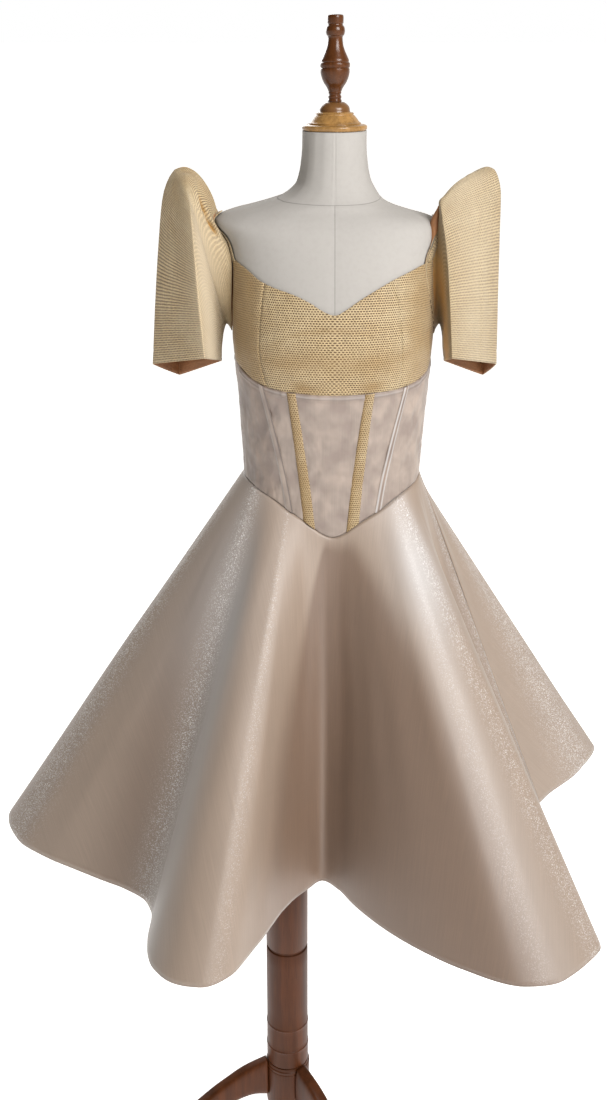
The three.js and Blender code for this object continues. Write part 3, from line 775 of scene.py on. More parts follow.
# Turned profiles: radius and height.
CAP_PROFILE = [
    [39.6, 1735.3], [41.8, 1736], [43, 1738], [43.1, 1740], [42, 1742], [38.5, 1743], [34.8, 1743.2],
    [34.4, 1743.8], [34.8, 1744.8], [33.6, 1745.6], [32.6, 1746.4], [29.4, 1750.4], [26.4, 1754],
    [25, 1755], [24.8, 1755.6], [25.3, 1756.6], [24, 1757.8], [20.8, 1758.2], [20.1, 1759.6],
    [19.6, 1763], [16.6, 1767.6], [11, 1770.7]]
FINIAL_PROFILE = [
    [8.8, 1771], [9, 1772.4], [8.2, 1774], [8, 1774.8], [8.6, 1776], [8.6, 1778], [7.6, 1779.2],
    [7.6, 1780.4], [8.5, 1781.6], [8.4, 1783.4], [8.9, 1784.8], [11, 1789], [14.5, 1794],
    [17.6, 1801], [19, 1808], [18.9, 1811.2], [18.1, 1812.4], [19.2, 1813.6], [19.4, 1816.4],
    [19.2, 1818.2], [17.8, 1819.8], [18, 1821], [15.6, 1827], [12.4, 1834], [10.2, 1841],
    [9.4, 1848.6], [9.7, 1850.4], [11.4, 1852.4], [12.3, 1857.2], [11.4, 1861.6], [9.6, 1864],
    [9.4, 1865], [10.3, 1866.4], [10.4, 1873], [9.6, 1875.8], [6, 1876.6]]
POLE_PROFILE = [
    [34, 172], [35.4, 173], [36, 175], [36, 206], [36.7, 207.4], [36.7, 209.4], [35.8, 210.6],
    [35.6, 253], [36.3, 254.6], [36.3, 256.6], [35.4, 258], [35, 414.6], [32.8, 416.4],
    [32.6, 418.6], [32.8, 420.4], [35, 422], [35, 1087.5], [33.6, 1089.5]]
HUB_PROFILE = [
    [10, 60], [18, 61.4], [26, 64], [34.6, 71], [37.2, 79], [38, 88], [38, 158.4], [37.2, 160],
    [37.4, 162.4], [38.4, 163.6], [38.4, 165.4], [37, 167], [36.6, 169.4], [36, 171.6]]
CAP_DOME_Z = 1.7582
# The legs' turns round the pole, and one leg by its share of the way out. LEG_TIP rounds its end: how far
# out each of the last rings is, and its size.
LEG_TURNS = {"left": 193, "right": 308, "back": 88}
LEG = table("t reach z deep wide tilt", [
    [0, 38.5, 136, 76, 26, 0], [0.15, 66, 132, 60, 26, 10], [0.35, 114, 110, 42, 26, 26],
    [0.6, 180, 64, 32, 26, 32], [0.8, 240, 29, 29, 27, 26], [0.92, 276, 12.5, 28, 28, 8]])
LEG_TIP = [(290, 0.985), (296, 0.93), (299, 0.84), (300, 0.7)]
LEG_TIP_DEPTH = 26


def leg_piece(name, node, turn, material):
    """A curved leg: a rounded bar carried along its path from the hub, clipped flat on the floor."""
    t = np.linspace(0, 0.92, 60)[:, None]
    a = np.radians(np.linspace(0, 360, 49)[:-1])[None, :]
    across = LEG["wide"](t) / 2 * np.sign(np.cos(a)) * np.abs(np.cos(a)) ** 0.5
    up = LEG["deep"](t) / 2 * np.sign(np.sin(a)) * np.abs(np.sin(a)) ** 0.5
    tilt = np.radians(LEG["tilt"](t))
    out = LEG["reach"](t) + up * np.sin(tilt)
    z = np.maximum(0, LEG["z"](t) + up * np.cos(tilt))
    ends = [(np.full_like(out[-1:], far), across[-1:] * shrink, np.minimum(z[-1:], LEG_TIP_DEPTH * shrink))
            for far, shrink in LEG_TIP]
    out = np.concatenate([out] + [end[0] for end in ends])
    across = np.concatenate([across] + [end[1] for end in ends])
    z = np.concatenate([z] + [end[2] for end in ends])
    c = math.cos(math.radians(turn))
    s = math.sin(math.radians(turn))
    p = np.stack([POLE_X + out * c - across * s, out * s + across * c, z], -1)
    uv = np.stack([np.broadcast_to(a * 12, out.shape), out], -1)
    obj = grid_object(name, p, uv, closed=True, cap=True)
    obj.data.materials.append(material)
    return stands_for(obj, node)


class GOWN_OT_stand(bpy.types.Operator):
    """Make the neck cap, finial, pole, hub and legs"""
    bl_idname = "gown.stand"
    bl_label = "Cap, finial and stand"

    def execute(self, context):
        sizes = context.scene.gown_sizes
        pale = turned_wood("cap wood", sizes.cap_wood, 0.2, (1, 1, 1), 0.4, CAP_DOME_Z)
        finial = turned_wood("finial wood", sizes.finial_wood, 0.16, shine=0.3)
        pole = turned_wood("pole wood", sizes.pole_wood, 0.34)
        turned_piece("neck_cap_turned", "form_neck_cap", AXIS_X, CAP_PROFILE, pale)
        turned_piece("finial_turned", "finial", AXIS_X, FINIAL_PROFILE, finial)
        turned_piece("pole_turned", "pole", POLE_X, POLE_PROFILE, pole, 5)
        turned_piece("hub_turned", "hub", POLE_X, HUB_PROFILE, pole)
        for name, turn in LEG_TURNS.items():
            leg_piece(f"leg_{name}_shaped", f"leg_{name}", turn, pole)
        return {"FINISHED"}


# Bodice

def bust_folds(deg, z, edges):
    """Fullness over the bust, a crease across under the neckline's point and a roll above the seam."""
    off = deg - CENTRE_FRONT
    under = bump(z, 1500 - 0.02 * off ** 2, 5.5) * bump(off, 0, 24)
    roll = bump(z, 1428 + 0.006 * off ** 2, 9) * bump(off, -2, 30)
    nip = bump(z, 1413, 5) * (bump(off, -16, 7) + 0.7 * bump(off, 20, 9))
    slack = soft_noise(deg / 9, z / 22, 11)
    return -1.5 * under + 1.5 * roll - 0.8 * nip + 0.5 * slack


def side_drag(deg, z, edges):
    """Slanting drag lines at the sides and back."""
    return 0.6 * soft_noise(deg / 7 + z / 40, z / 26 - deg / 18, 12)


def gold_shading(deg, z, edges):
    """Painted shade: darker cloth in the folds above the two tapes and under the neckline's point, low down
    and at the sides."""
    off = deg - CENTRE_FRONT
    nip = bump(z, gold_seam(deg) + 9, 8) * (bump(off, -15, 6) + bump(off, 19, 6))
    fold = bump(z, 1493 - 0.02 * off ** 2, 4) * bump(off, -4, 22)
    low = bump(z, gold_seam(deg) + 42, 16) * bump(off, 0, 45)
    sides = 0.45 * ease((234 - deg) / 16) * (deg > 180) + 0.3 * ease((deg - 306) / 14)
    return dict(hollow=np.clip(0.6 * nip + 0.35 * fold + 0.4 * low + sides, 0, 1))


# Each panel: its side seams, its top edge, its columns and rows of points, and its folds.
BODICE_PANELS = [
    ("bodice_front_center", PRINCESS_LEFT, PRINCESS_RIGHT, top_front, 150, 90, bust_folds),
    ("bodice_side_front_left", upright(180), PRINCESS_LEFT, top_front, 80, 80, side_drag),
    ("bodice_side_front_right", PRINCESS_RIGHT, upright(360), top_front, 80, 80, side_drag),
    ("bodice_back_left", upright(90), upright(180), top_back, 90, 60, side_drag),
    ("bodice_back_right", upright(0), upright(90), top_back, 90, 60, side_drag)]
STRAP_COLUMNS = "t edge_turn edge_z neck_turn neck_z"
STRAP_LEFT = table(STRAP_COLUMNS, [
    [0, 17, 1573, 22.5, 1569], [0.25, 13.5, 1602, 16.5, 1602], [0.42, 8, 1619, 11, 1622],
    [0.5, 2, 1625, 2, 1631], [0.58, -6, 1619, -10, 1623], [0.75, -17, 1598, -24, 1596],
    [1, -23.6, 1560.6, -34, 1554.6]])
STRAP_RIGHT = table(STRAP_COLUMNS, [
    [0, 23.6, 1572.6, 34, 1564.8], [0.25, 18.5, 1602, 26, 1602], [0.42, 9, 1617, 12, 1620],
    [0.5, 0, 1619, 0, 1625], [0.58, -9, 1615, -11, 1619], [0.75, -18.5, 1596, -26, 1594],
    [1, -23.6, 1560.6, -34, 1554.6]])
STRAP_OFF = 1.4


def strap_piece(name, side, strap, gold):
    """A narrow band over the shoulder, from the bodice's front edge at t = 0 to its back edge at t = 1,
    its ends bent to meet those edges and its middle crowned."""
    t = np.linspace(0, 1, 120)[None, :]
    share = np.linspace(0, 1, 14)[:, None]
    turn = strap["edge_turn"](t) * (1 - share) + strap["neck_turn"](t) * share
    z = strap["edge_z"](t) * (1 - share) + strap["neck_z"](t) * share
    deg = 180 + turn if side < 0 else (360 - turn) % 360
    near = np.minimum(t, 1 - t)
    seam = 0.3 + np.where(t < 0.5, top_front(np.maximum(deg, 180)), top_back(np.minimum(deg, 180)))
    end = np.maximum(0, 1 - 4 * near)
    z = np.maximum(z * (1 - end) + seam * end, np.where(near < 0.2, seam, 0))
    crown = 0.6 * (1 - (2 * share - 1) ** 4)
    p = off_torso(deg, z, FORM_GAP + STRAP_OFF + crown + 0 * t)
    uv = np.stack([180 * t + 0 * z, 12 * share + 0 * z], -1)
    if side < 0:
        p = p[:, ::-1]
        uv = uv[:, ::-1]
    cloth_piece(name + "_band", p, uv, name, "gold_cloth", gold, 1.2, "stretched", ["form_torso_cover"])


class GOWN_OT_bodice(bpy.types.Operator):
    """Make the gold bodice panels and straps"""
    bl_idname = "gown.bodice"
    bl_label = "Gold bodice"

    def execute(self, context):
        sizes = context.scene.gown_sizes
        gold = gold_cloth(sizes)
        for name, left, right, top, cols, rows, folds in BODICE_PANELS:
            body_panel(name, left, right, gold_seam, top, cols, rows, folds, sizes.crease_depth, gold,
                       "gold_cloth", gold_shading, seams="lrb")
        strap_piece("strap_left", -1, STRAP_LEFT, gold)
        strap_piece("strap_right", 1, STRAP_RIGHT, gold)
        return {"FINISHED"}


# Corset

def corset_wrinkles(deg, z, edges):
    """Drag lines: short soft folds that lean across the panel, and a tuck under the gold seam."""
    lean = soft_noise(deg / 5 + z / 60, z / 17 - deg / 9, 21)
    small = soft_noise(deg / 2.2 - z / 40, z / 8 + deg / 7, 22)
    tuck = bump(edges[3], 7.5, 2.0) - 0.7 * bump(edges[3], 11.5, 2.6)
    return 0.75 * lean + 0.3 * small + 0.55 * tuck


def corset_shading(deg, z, edges):
    """A stitched line a little below the gold seam with a painted highlight over it, painted shade close
    under the seam and painted shade at the left side."""
    left = 0.55 * ease((240 - deg) / 14) * (deg > 180)
    return dict(line=0.4 * bump(edges[3], 6.0, 0.8), crest=0.3 * bump(edges[3], 4, 1.5),
                valley=np.clip(0.5 * bump(edges[3], 0, 9) + left, 0, 1))


def tape_ribs(middle, z):
    """Fine ribs along a gold tape, which is rounded across."""
    return 0.16 * np.sin(z * 2 * np.pi / 3.0) - 0.9 * middle ** 2


def channel_folds(middle, z):
    """Soft slack in a satin channel, with a stitched groove beside each edge."""
    return 0.2 * soft_noise(middle * 1.5, z / 9, 31) - 0.5 * bump(np.abs(middle), 0.78, 0.12)


# Each panel: its side seams and its columns of points.
CORSET_ROWS = 100
CORSET_PANELS = [
    ("corset_front_center", TAPE_LEFT, TAPE_RIGHT, 90),
    ("corset_mid_left", OUTER_LEFT, TAPE_LEFT, 50),
    ("corset_mid_right", TAPE_RIGHT, OUTER_RIGHT, 50),
    ("corset_side_left", upright(180), OUTER_LEFT, 80),
    ("corset_side_right", OUTER_RIGHT, upright(360), 80),
    ("corset_back_left", upright(90), upright(180), 80),
    ("corset_back_right", upright(0), upright(90), 80)]
# Each tape and channel: its seam, width and thickness, and its marks by the place across it.
TAPES = [
    # Painted shade over each tape, more on the left one and most along one edge.
    ("boning_tape_left", TAPE_LEFT, 12, 1.8, lambda m: dict(hollow=0.3 + 0.4 * bump(m, -1, 0.7))),
    ("boning_tape_right", TAPE_RIGHT, 12.5, 1.8, lambda m: dict(hollow=0.15 + 0.4 * bump(m, -1, 0.7)))]
CHANNELS = [
    # The left channel has a stitched line and a painted highlight, the right one painted highlights either
    # side of its middle and painted shade down it.
    ("boning_channel_left", OUTER_LEFT, 9, 1.1,
     lambda m: dict(line=0.95 * bump(m, 0.8, 0.2), crest=0.25 * bump(m, -0.85, 0.2))),
    ("boning_channel_right", OUTER_RIGHT, 9, 1.5,
     lambda m: dict(crest=0.9 * bump(np.abs(m), 0.6, 0.2), valley=bump(m, 0, 0.25)))]
CORSET_TINT = (0.88, 0.92, 0.98)
SKIRT_TINT = (0.95, 0.94, 0.90)


class GOWN_OT_corset(bpy.types.Operator):
    """Make the satin corset with its boning tapes and channels"""
    bl_idname = "gown.corset"
    bl_label = "Satin corset"

    def execute(self, context):
        sizes = context.scene.gown_sizes
        satin = satin_cloth("corset satin", sizes, CORSET_TINT, 0.3, 0.7, sizes.glitter * 0.6)
        gold = bpy.data.materials.get("gold basket weave") or gold_cloth(sizes)
        for name, left, right, cols in CORSET_PANELS:
            body_panel(name, left, right, basque, gold_seam, cols, CORSET_ROWS, corset_wrinkles,
                       sizes.crease_depth, satin, "satin", corset_shading)
        above = FORM_GAP + CLOTH + 0.3
        for name, seam, width, thick, marks in TAPES:
            tape(name, seam, width, above, thick, gold, "gold_cloth", tape_ribs, marks)
        for name, seam, width, thick, marks in CHANNELS:
            tape(name, seam, width, above, thick, satin, "satin", channel_folds, marks)
        return {"FINISHED"}


# Skirt

# The hem: its distance from the torso's axis by angle.
HEM = [
    [8, 372], [16, 450], [25, 522], [33, 505], [43, 400], [54, 318], [66, 330], [78, 402], [90, 416],
    [101, 388], [113, 312], [124, 306], [135, 382], [146, 492], [155, 505], [163, 452], [170, 470],
    [180, 520], [189, 496], [196, 455], [202, 418], [208, 389], [214, 366], [220, 357], [225, 366],
    [231, 410], [237.6, 451], [242, 460], [247, 451], [250.6, 415], [252.6, 345], [254.5, 268],
    [259, 217], [266, 185], [273, 207], [279, 257], [286.8, 333], [294.9, 420], [301.4, 485],
    [307.6, 506], [317, 503], [321.5, 470], [327, 395], [334, 315], [343, 275], [352, 292], [360, 330]]
# Streaks of glitter, painted near white as glints: place round the hem at the waist and at the hem in
# degrees, half width in mm, strength.
GLITTER_AND_PAINTED_GLINTS = [
    [214, 222, 40, 1.0], [180, 187, 46, 1.0], [24, 17, 70, 1.0], [356, 7, 30, 0.7], [312, 316, 26, 0.6],
    [248, 249, 16, 0.25], [306, 304, 20, 0.2], [60, 60, 60, 0.6], [120, 120, 60, 0.6], [155, 155, 50, 0.6]]
# Each panel: its first and last angle at the hem, and its columns and rows of points.
SKIRT_PANELS = [("skirt_front", 176, 364, 290, 96), ("skirt_back_left", 90, 176, 140, 84),
                ("skirt_back_right", 4, 90, 140, 84)]
# How far the threads fan out at the waist, how far the skirt's top hangs below the corset's edge, and the
# radius of the cloth's flat cut at the waist and at the hem.
FAN = 0.5
SKIRT_DROP = 0.15
WAIST_REACH = 160
HEM_REACH = 820.0


class Skirt:
    """The skirt's surface: straight from the waist seam to the hem. The hem's radius from the torso axis
    is a smooth curve round its table, and each thread starts at the waist partly straight above its place
    at the hem and partly, as FAN says, at its share of the hem's length."""

    def __init__(self):
        rows = np.asarray(HEM, float)
        before = rows[-3:] - [360, 0]
        after = rows[:3] + [360, 0]
        rows = np.concatenate([before, rows, after])
        self.radius = curve(rows[:, 0], rows[:, 1])
        self.turn = np.linspace(0, 360, 1441)
        p = self.hem(self.turn)
        self.run = np.concatenate([[0], np.cumsum(np.linalg.norm(np.diff(p, axis=0), axis=1))])
        self.length = self.run[-1]
        zero = CENTRE_FRONT - 360 * self.run[1080] / self.length
        by_length = zero + 360 * self.run / self.length
        self.waist_turn = curve(self.turn, (1 - FAN) * self.turn + FAN * by_length)
        self.run_at = curve(self.turn, self.run)

    def hem(self, deg):
        """The hem's point below an angle."""
        d = (np.asarray(deg, float) - 8) % 360 + 8
        r = self.radius(d)
        a = np.radians(d)
        return np.stack([AXIS_X + r * np.cos(a), r * np.sin(a), HEM_Z + 0 * r], -1)

    def run_of(self, deg):
        """Length along the hem from the angle 0, however many turns it makes."""
        turns = np.floor(deg / 360)
        return self.run_at(deg - 360 * turns) + turns * self.length

    def point(self, deg, t):
        """The point a share t of the way from the waist to the hem."""
        turns = np.floor(deg / 360)
        waist = self.waist_turn(deg - 360 * turns) % 360
        top = off_torso(waist, basque(waist) - SKIRT_DROP, np.full_like(waist, FORM_GAP + CLOTH))
        return top + (self.hem(deg) - top) * t[..., None]


def skirt_lift(t, run, depth):
    """How far the cloth stands off its straight threads: soft waves as deep as `depth` says, which fade
    towards the waist, edges sunk into the waist and side seams, and a stitched hem."""
    soft = 1.6 * soft_noise(run / 95, t * 2.2, 41) + 0.8 * soft_noise(run / 42 + 9, t * 4.0, 42)
    lift = depth * soft * np.clip(t * 5, 0, 1)
    waist = 0.4 * bump(t * SKIRT_LENGTH, 0, 1.6)
    hem = 0.35 * bump((1 - t) * SKIRT_LENGTH, 12, 2.2)
    for end in (0, -1):
        from_seam = np.abs(run - run[:, [end]]) * (0.2 + 0.8 * t)
        lift = lift - 0.9 * bump(from_seam, 0, 1.8)
    return lift - waist - hem


def skirt_glints(skirt, run, t):
    """Streaks of glitter painted near white as glints, each from its place at the waist to its place at the
    hem.
    """
    total = 0
    for top, end, wide, strength in GLITTER_AND_PAINTED_GLINTS:
        sweep = end - top + 360 * (top > end + 180)
        middle = skirt.run_of(top + sweep * t ** 0.6)
        total = total + strength * bump(run, middle, wide * (1.3 - 0.5 * t))
    return np.clip(total, 0, 1)


def skirt_shading(deg, t):
    """Painted shade in the deep fold at the front's middle, in a second one at the left and at the right end
    of the front, and painted highlights on the crests of the broad folds."""
    from_left = 252.5 + 14 * np.exp(-t / 0.2)
    to_right = 305 - 30 * np.exp(-t / 0.22)
    valley = ease((deg - from_left + 2) / 4) * ease((to_right + 5 - deg) / 10)
    valley = valley * (0.92 + 0.4 * bump(deg, 266, 7))
    valley = valley + 0.6 * bump(deg, 201 + 12 * t, 8.0) * ease(t * 3)
    valley = valley + 0.4 * ease((deg - 350) / 6)
    crest = 0.15 * bump(deg, 307, 5) * ease(t * 3) + 0.65 * bump(deg, 309, 12) * bump(t, 0.14, 0.14)
    crest = crest + 0.5 * bump(deg, 214, 20) * bump(t, 0.2, 0.3) + 0.45 * bump(deg, 230, 8) * ease(t * 3)
    return dict(valley=np.clip(valley * ease(t * 14 + 0.2), 0, 1), crest=crest)


class GOWN_OT_skirt(bpy.types.Operator):
    """Make the circle skirt's panels"""
    bl_idname = "gown.skirt"
    bl_label = "Satin skirt"

    def execute(self, context):
        sizes = context.scene.gown_sizes
        satin = satin_cloth("skirt satin", sizes, SKIRT_TINT, 0.35, 0.0, sizes.glitter)
        skirt = Skirt()
        for name, start, stop, cols, rows in SKIRT_PANELS:
            fine = np.linspace(start, stop, 4000)
            share = skirt.run_of(fine) + 4 * fine
            deg = np.interp(np.linspace(share[0], share[-1], cols), share, fine)
            deg, t = np.meshgrid(deg, np.linspace(1, 0, rows) ** 1.05)
            run = skirt.run_of(deg)
            lift = skirt_lift(t, run, sizes.crease_depth)
            p = skirt.point(deg, t)
            p = p + grid_normals(p, False) * lift[..., None]
            middle = 0.5 * (run[:, :1] + run[:, -1:])
            if name == "skirt_front":
                middle = skirt.run_of(np.array(CENTRE_FRONT))
            reach = WAIST_REACH + (HEM_REACH - WAIST_REACH) * t
            around = (run - middle) / HEM_REACH
            uv = np.stack([reach * np.sin(around), reach * np.cos(around)], -1)
            cloth_piece(name + "_cloth", p, uv, name, "satin", satin, 1.4, "hung", ["form_torso_cover"],
                        glint=skirt_glints(skirt, run, t), **skirt_shading(deg, t))
        return {"FINISHED"}


# Sleeves

# The corners of a sleeve's rings by its share of the way up: outer, front, inner and back.
SLEEVE = table("t oy oz fy fz ix iy iz bx by bz box", [
    [0, 10, 1419, -80, 1448, 155, -8, 1428, 225, 86, 1384, 0.97],
    [0.2, 9, 1498, -77, 1512, 153.5, -7, 1446, 221, 85, 1452, 0.95],
    [0.4, 7, 1592, -67, 1588, 152, -6, 1460, 213, 80, 1540, 0.9],
    [0.55, 4, 1655, -55, 1636, 150.5, -4, 1468, 205, 68, 1610, 0.86],
    [0.66, 1, 1687, -46, 1650, 149, -2, 1474, 192, 56, 1640, 0.75],
    [0.76, 0, 1691, -39, 1645, 147.5, 0, 1478, 177, 47, 1636, 0.5],
    [0.86, 0, 1680, -33, 1622, 146, 2, 1479, 163, 40, 1612, 0.25],
    [0.94, 0, 1659, -30, 1597, 144.3, 2, 1477, 152, 36, 1586, 0.1],
    [1, 0, 1632, -28, 1571, 142.6, 2, 1475, 145.4, 34, 1565, 0]])
# How far the front and outer corners reach from the torso's axis, for each sleeve.
REACH = table("t left_f right_f left_o right_o", [
    [0, 173.6, 158.7, 256, 234], [0.2, 179, 154, 249, 231], [0.4, 184.5, 147, 240, 227],
    [0.55, 188, 139, 230, 225], [0.66, 190, 137, 211, 213], [0.76, 185, 137, 191, 196],
    [0.86, 172, 137, 172, 174], [1, 145, 137, 156, 150]])
# The armhole seam by the place round the ring: turn from the side and height, for each sleeve.
ARMHOLE = table("u left left_z right right_z", [
    [0, 4, 1628, -4, 1624], [0.5, 13, 1619, 20, 1617], [0.75, 14, 1607, 27, 1607], [1, 15, 1590, 32, 1590],
    [1.25, 17, 1570, 34, 1570], [1.5, 14, 1546, 30, 1545], [1.75, 9, 1508, 20, 1504], [2, 3, 1470, 4, 1468],
    [2.25, -9, 1482, -10, 1482], [2.5, -14, 1516, -15, 1516], [2.75, -19, 1552, -21, 1552],
    [3, -22, 1578, -25, 1578], [3.5, -13, 1612, -15, 1612], [4, 4, 1628, -4, 1624]])
# Each dent or ridge: place round the ring and along the sleeve, its two widths, and its depth inward.
LEFT_PLEATS = [
    [0.77, 0.808, 0.15, 0.018, 8], [0.975, 0.834, 0.06, 0.026, 8], [0.72, 0.775, 0.25, 0.012, -2.5],
    [0.90, 0.845, 0.05, 0.03, -2.5], [0.2, 0.72, 0.12, 0.04, 3], [3.2, 0.80, 0.15, 0.02, 6],
    [2.95, 0.84, 0.07, 0.03, 6], [1.35, 0.55, 0.5, 0.16, 2], [0.5, 0.45, 0.25, 0.4, 2]]
RIGHT_PLEATS = [
    [1.10, 0.76, 0.07, 0.06, 8], [1.0, 0.70, 0.05, 0.05, -2.5], [3.2, 0.80, 0.15, 0.02, 6],
    [2.95, 0.84, 0.07, 0.03, 6], [0.42, 0.30, 0.035, 0.6, 1.2], [0.36, 0.35, 0.05, 0.6, -0.8],
    [1.5, 0.4, 0.3, 0.2, 2]]
# The weave's map: the four faces' widths, summed round the ring, and how much each corner's rows rise.
SLEEVE_WIDTHS = [0, 120, 196, 316, 396.0]
SLEEVE_RISE = [-1, 1, 0.2, -1, -1]
SLEEVE_LENGTH = 330
SLEEVE_AROUND = 200
RING = np.arange(5)


def sleeve_surface(side, t, u):
    """A point of a sleeve: rings of four corners (outer, front, inner, back) from the hem at t = 0, folded
    flat where `box` is high and round where it is low, run into the armhole seam on the torso at t = 1."""
    t, u = np.broadcast_arrays(t, u)
    key = "left" if side < 0 else "right"
    corner = []
    for c in "ofib":
        x = REACH[key + "_" + c](t) if c in "of" else SLEEVE[c + "x"](t)
        corner.append(np.stack([AXIS_X + side * x, SLEEVE[c + "y"](t), SLEEVE[c + "z"](t)], -1))
    o, f, i, b = corner
    middle = (o + f + i + b) / 4
    k = np.floor(u).astype(int) % 4
    s = (u - np.floor(u))[..., None]
    flat = sum((k == q)[..., None] * (corner[q] * (1 - s) + corner[(q + 1) % 4] * s) for q in range(4))
    c = np.cos(u * np.pi / 2)[..., None]
    n = np.sin(u * np.pi / 2)[..., None]
    whole = (middle + (o - i) / 2 * c + (f - b) / 2 * n + ((o + i) / 2 - middle) * c * c
             + ((f + b) / 2 - middle) * n * n)
    box = SLEEVE["box"](t)[..., None]
    turn = ARMHOLE[key](u)
    seam = off_torso(180 + turn if side < 0 else 360 - turn, ARMHOLE[key + "_z"](u), 4.0 + 0 * u)
    joined = ease((t - 0.70) / 0.30)[..., None]
    return (whole * (1 - box) + flat * box) * (1 - joined) + seam * joined


def sleeve_folds(side, t, u, pleats):
    """The height of a sleeve's folds off its rings, and how deep in a pleat each point lies, which places the
    painted shade and light in the deepest pleats: each face swells a little, with soft slack and a
    stitched hem, and each pleat is a dent or a ridge."""
    face = np.abs(np.sin(np.pi * (u % 1)))
    swell = 2.2 * face * (1 - t) * np.clip(t * 5, 0.3, 1)
    slack = soft_noise(u * 1.7 + 3, t * 5, 51 + side) * np.clip(5 * (1 - t), 0, 1)
    lift = swell + slack - 0.5 * bump(t * SLEEVE_LENGTH, 16, 2.0)
    hollow = np.zeros_like(u)
    for place, along, wide, long, depth in pleats:
        off = np.abs(u - place)
        dent = bump(np.minimum(off, 4 - off), 0, wide) * bump(t, along, long)
        lift = lift - depth * dent
        if depth > 5:
            hollow = np.maximum(hollow, np.clip(1.5 * dent - 0.25, 0, 1))
    return lift, hollow


def sleeve_piece(name, side, pleats, cloth, lining):
    """One sleeve: its folds added to its rings, its sharp corners rounded, and its painted light and shade.
    The left one has painted light where it turns in from its front edge, and the right one warm orange
    painted light on that shaded face and paler painted light in front."""
    up = np.concatenate([np.linspace(0, 0.66, 64, endpoint=False), np.linspace(0.66, 1, 70)])[:, None]
    ring = (np.arange(SLEEVE_AROUND) * 4 / SLEEVE_AROUND)[None, ::-side]
    t, u = np.broadcast_arrays(up, ring)
    p = sleeve_surface(side, t, u)
    lift, hollow = sleeve_folds(side, t, u, pleats)
    p = p + grid_normals(p, True) * lift[..., None]
    for _ in range(3):
        p = 0.25 * np.roll(p, 1, axis=1) + 0.5 * p + 0.25 * np.roll(p, -1, axis=1)
    if side > 0:
        # Warm painted light on the face that turns in, and paler painted light in front.
        hollow = np.maximum(hollow, 0.7 * bump(u, 1.55, 0.3) * ease(5 * (1 - t)))
        pale = 0.4 * bump(u, 0.5, 0.5)
    else:
        # Painted light on the face that turns in from the front edge, kept out of the pleats.
        pale = 0.75 * bump(u, 1.35, 0.4) * ease(3 * (1 - t)) * (1 - hollow)
    rise = np.clip((t - 0.2) * 2.0, 0, 1) * np.interp(u, RING, SLEEVE_RISE) * (26 if side < 0 else 4)
    uv = np.stack([np.interp(u, RING, SLEEVE_WIDTHS), SLEEVE_LENGTH * t + rise], -1)
    cloth_piece(name + "_cloth", p, uv, name, "gold_cloth", cloth, 1.1, "hung", ["form_torso_cover"],
                closed=True, lining=lining, hollow=hollow, pale=pale)


class GOWN_OT_sleeves(bpy.types.Operator):
    """Make the flat butterfly sleeves"""
    bl_idname = "gown.sleeves"
    bl_label = "Butterfly sleeves"

    def execute(self, context):
        sizes = context.scene.gown_sizes
        # Lit and shaded copies of the weave: the left sleeve's painted lighter, the right one's painted
        # darker, with its fold colour raised to painted light.
        lighter = gold_cloth(sizes, "left sleeve weave", 1.14, 1.8)
        darker = gold_cloth(sizes, "right sleeve weave", 0.88, 4.0)
        lining = lining_cloth(sizes)
        sleeve_piece("sleeve_left", -1, LEFT_PLEATS, lighter, lining)
        sleeve_piece("sleeve_right", 1, RIGHT_PLEATS, darker, lining)
        return {"FINISHED"}


# Floor, room, lamps and camera

# The camera: where it stands, how far it looks down, and its focal length in pixels of an image so high.
CAMERA_PLACE = (-0.017, -1.77, 1.85)
CAMERA_DOWN = 21.9
FOCAL_PIXELS = 1277
IMAGE_HEIGHT = 1100
SENSOR = 24.0
# The room's brightness across its depth, width and height, each from one end to the other, multiplied.
# ROOM_BACK then lights the end of the room behind the object.
ROOM_DEPTH = [(0.0, 0.45), (0.3, 0.35), (0.6, 0.35), (0.85, 1.0)]
ROOM_WIDTH = [(0.0, 0.35), (0.35, 0.45), (0.6, 1.0), (0.8, 1.0), (1.0, 0.8)]
ROOM_HEIGHT = [(0.0, 1.0), (0.55, 0.9), (0.8, 0.8), (1.0, 1.0)]
ROOM_BACK = [(0.0, 0.0), (0.93, 0.0), (0.98, 1.0)]
# Each lamp: its name, place, width and power. They face the middle of the gown.
LAMPS = [("key", (1.45, -2.1, 3.0), 1.5, 132), ("back", (-0.9, 2.6, 2.6), 1.8, 45)]
LAMP_COLOUR = (0.99, 0.985, 0.985)
LAMP_AIM = (0.0, 0.0, 1.15)
ROOM_TINT = (1.0, 0.93, 0.83)
FLOOR_GLOW = 0.8
FLOOR_RINGS = [0.0, 2.0, 10.0, 400.0]
FLOOR_SIDES = 96


def make_camera(scene):
    """The camera, at the photograph's viewing angle."""
    camera = bpy.data.objects.new("camera", bpy.data.cameras.new("camera"))
    scene.collection.objects.link(camera)
    camera.location = CAMERA_PLACE
    camera.rotation_euler = (math.radians(90 - CAMERA_DOWN), 0, 0)
    camera.data.sensor_fit = "VERTICAL"
    camera.data.sensor_height = SENSOR
    camera.data.lens = SENSOR * FOCAL_PIXELS / IMAGE_HEIGHT
    camera.data.clip_end = 1000
    scene.camera = camera


def make_floor():
    """A wide pale round floor, half a millimetre below the feet."""
    a = np.linspace(0, 2 * np.pi, FLOOR_SIDES, endpoint=False)
    r = np.array(FLOOR_RINGS)[:, None] / MM
    p = np.stack([r * np.cos(a), r * np.sin(a), 0 * r * a - 0.5], -1)[::-1]
    floor = grid_object("floor", p, np.zeros((*p.shape[:2], 2)), closed=True)
    merge_points(floor)
    n = Finish("pale floor")
    speck = n.noise(n.place(), 3.0, 2.0)
    n.set(Base_Color=n.mix(speck, (0.92, 0.92, 0.915), (0.94, 0.94, 0.935)), Roughness=0.9,
          Specular_IOR_Level=0.1, Emission_Color=(1, 1, 1, 1), Emission_Strength=FLOOR_GLOW)
    floor.data.materials.append(n.material)


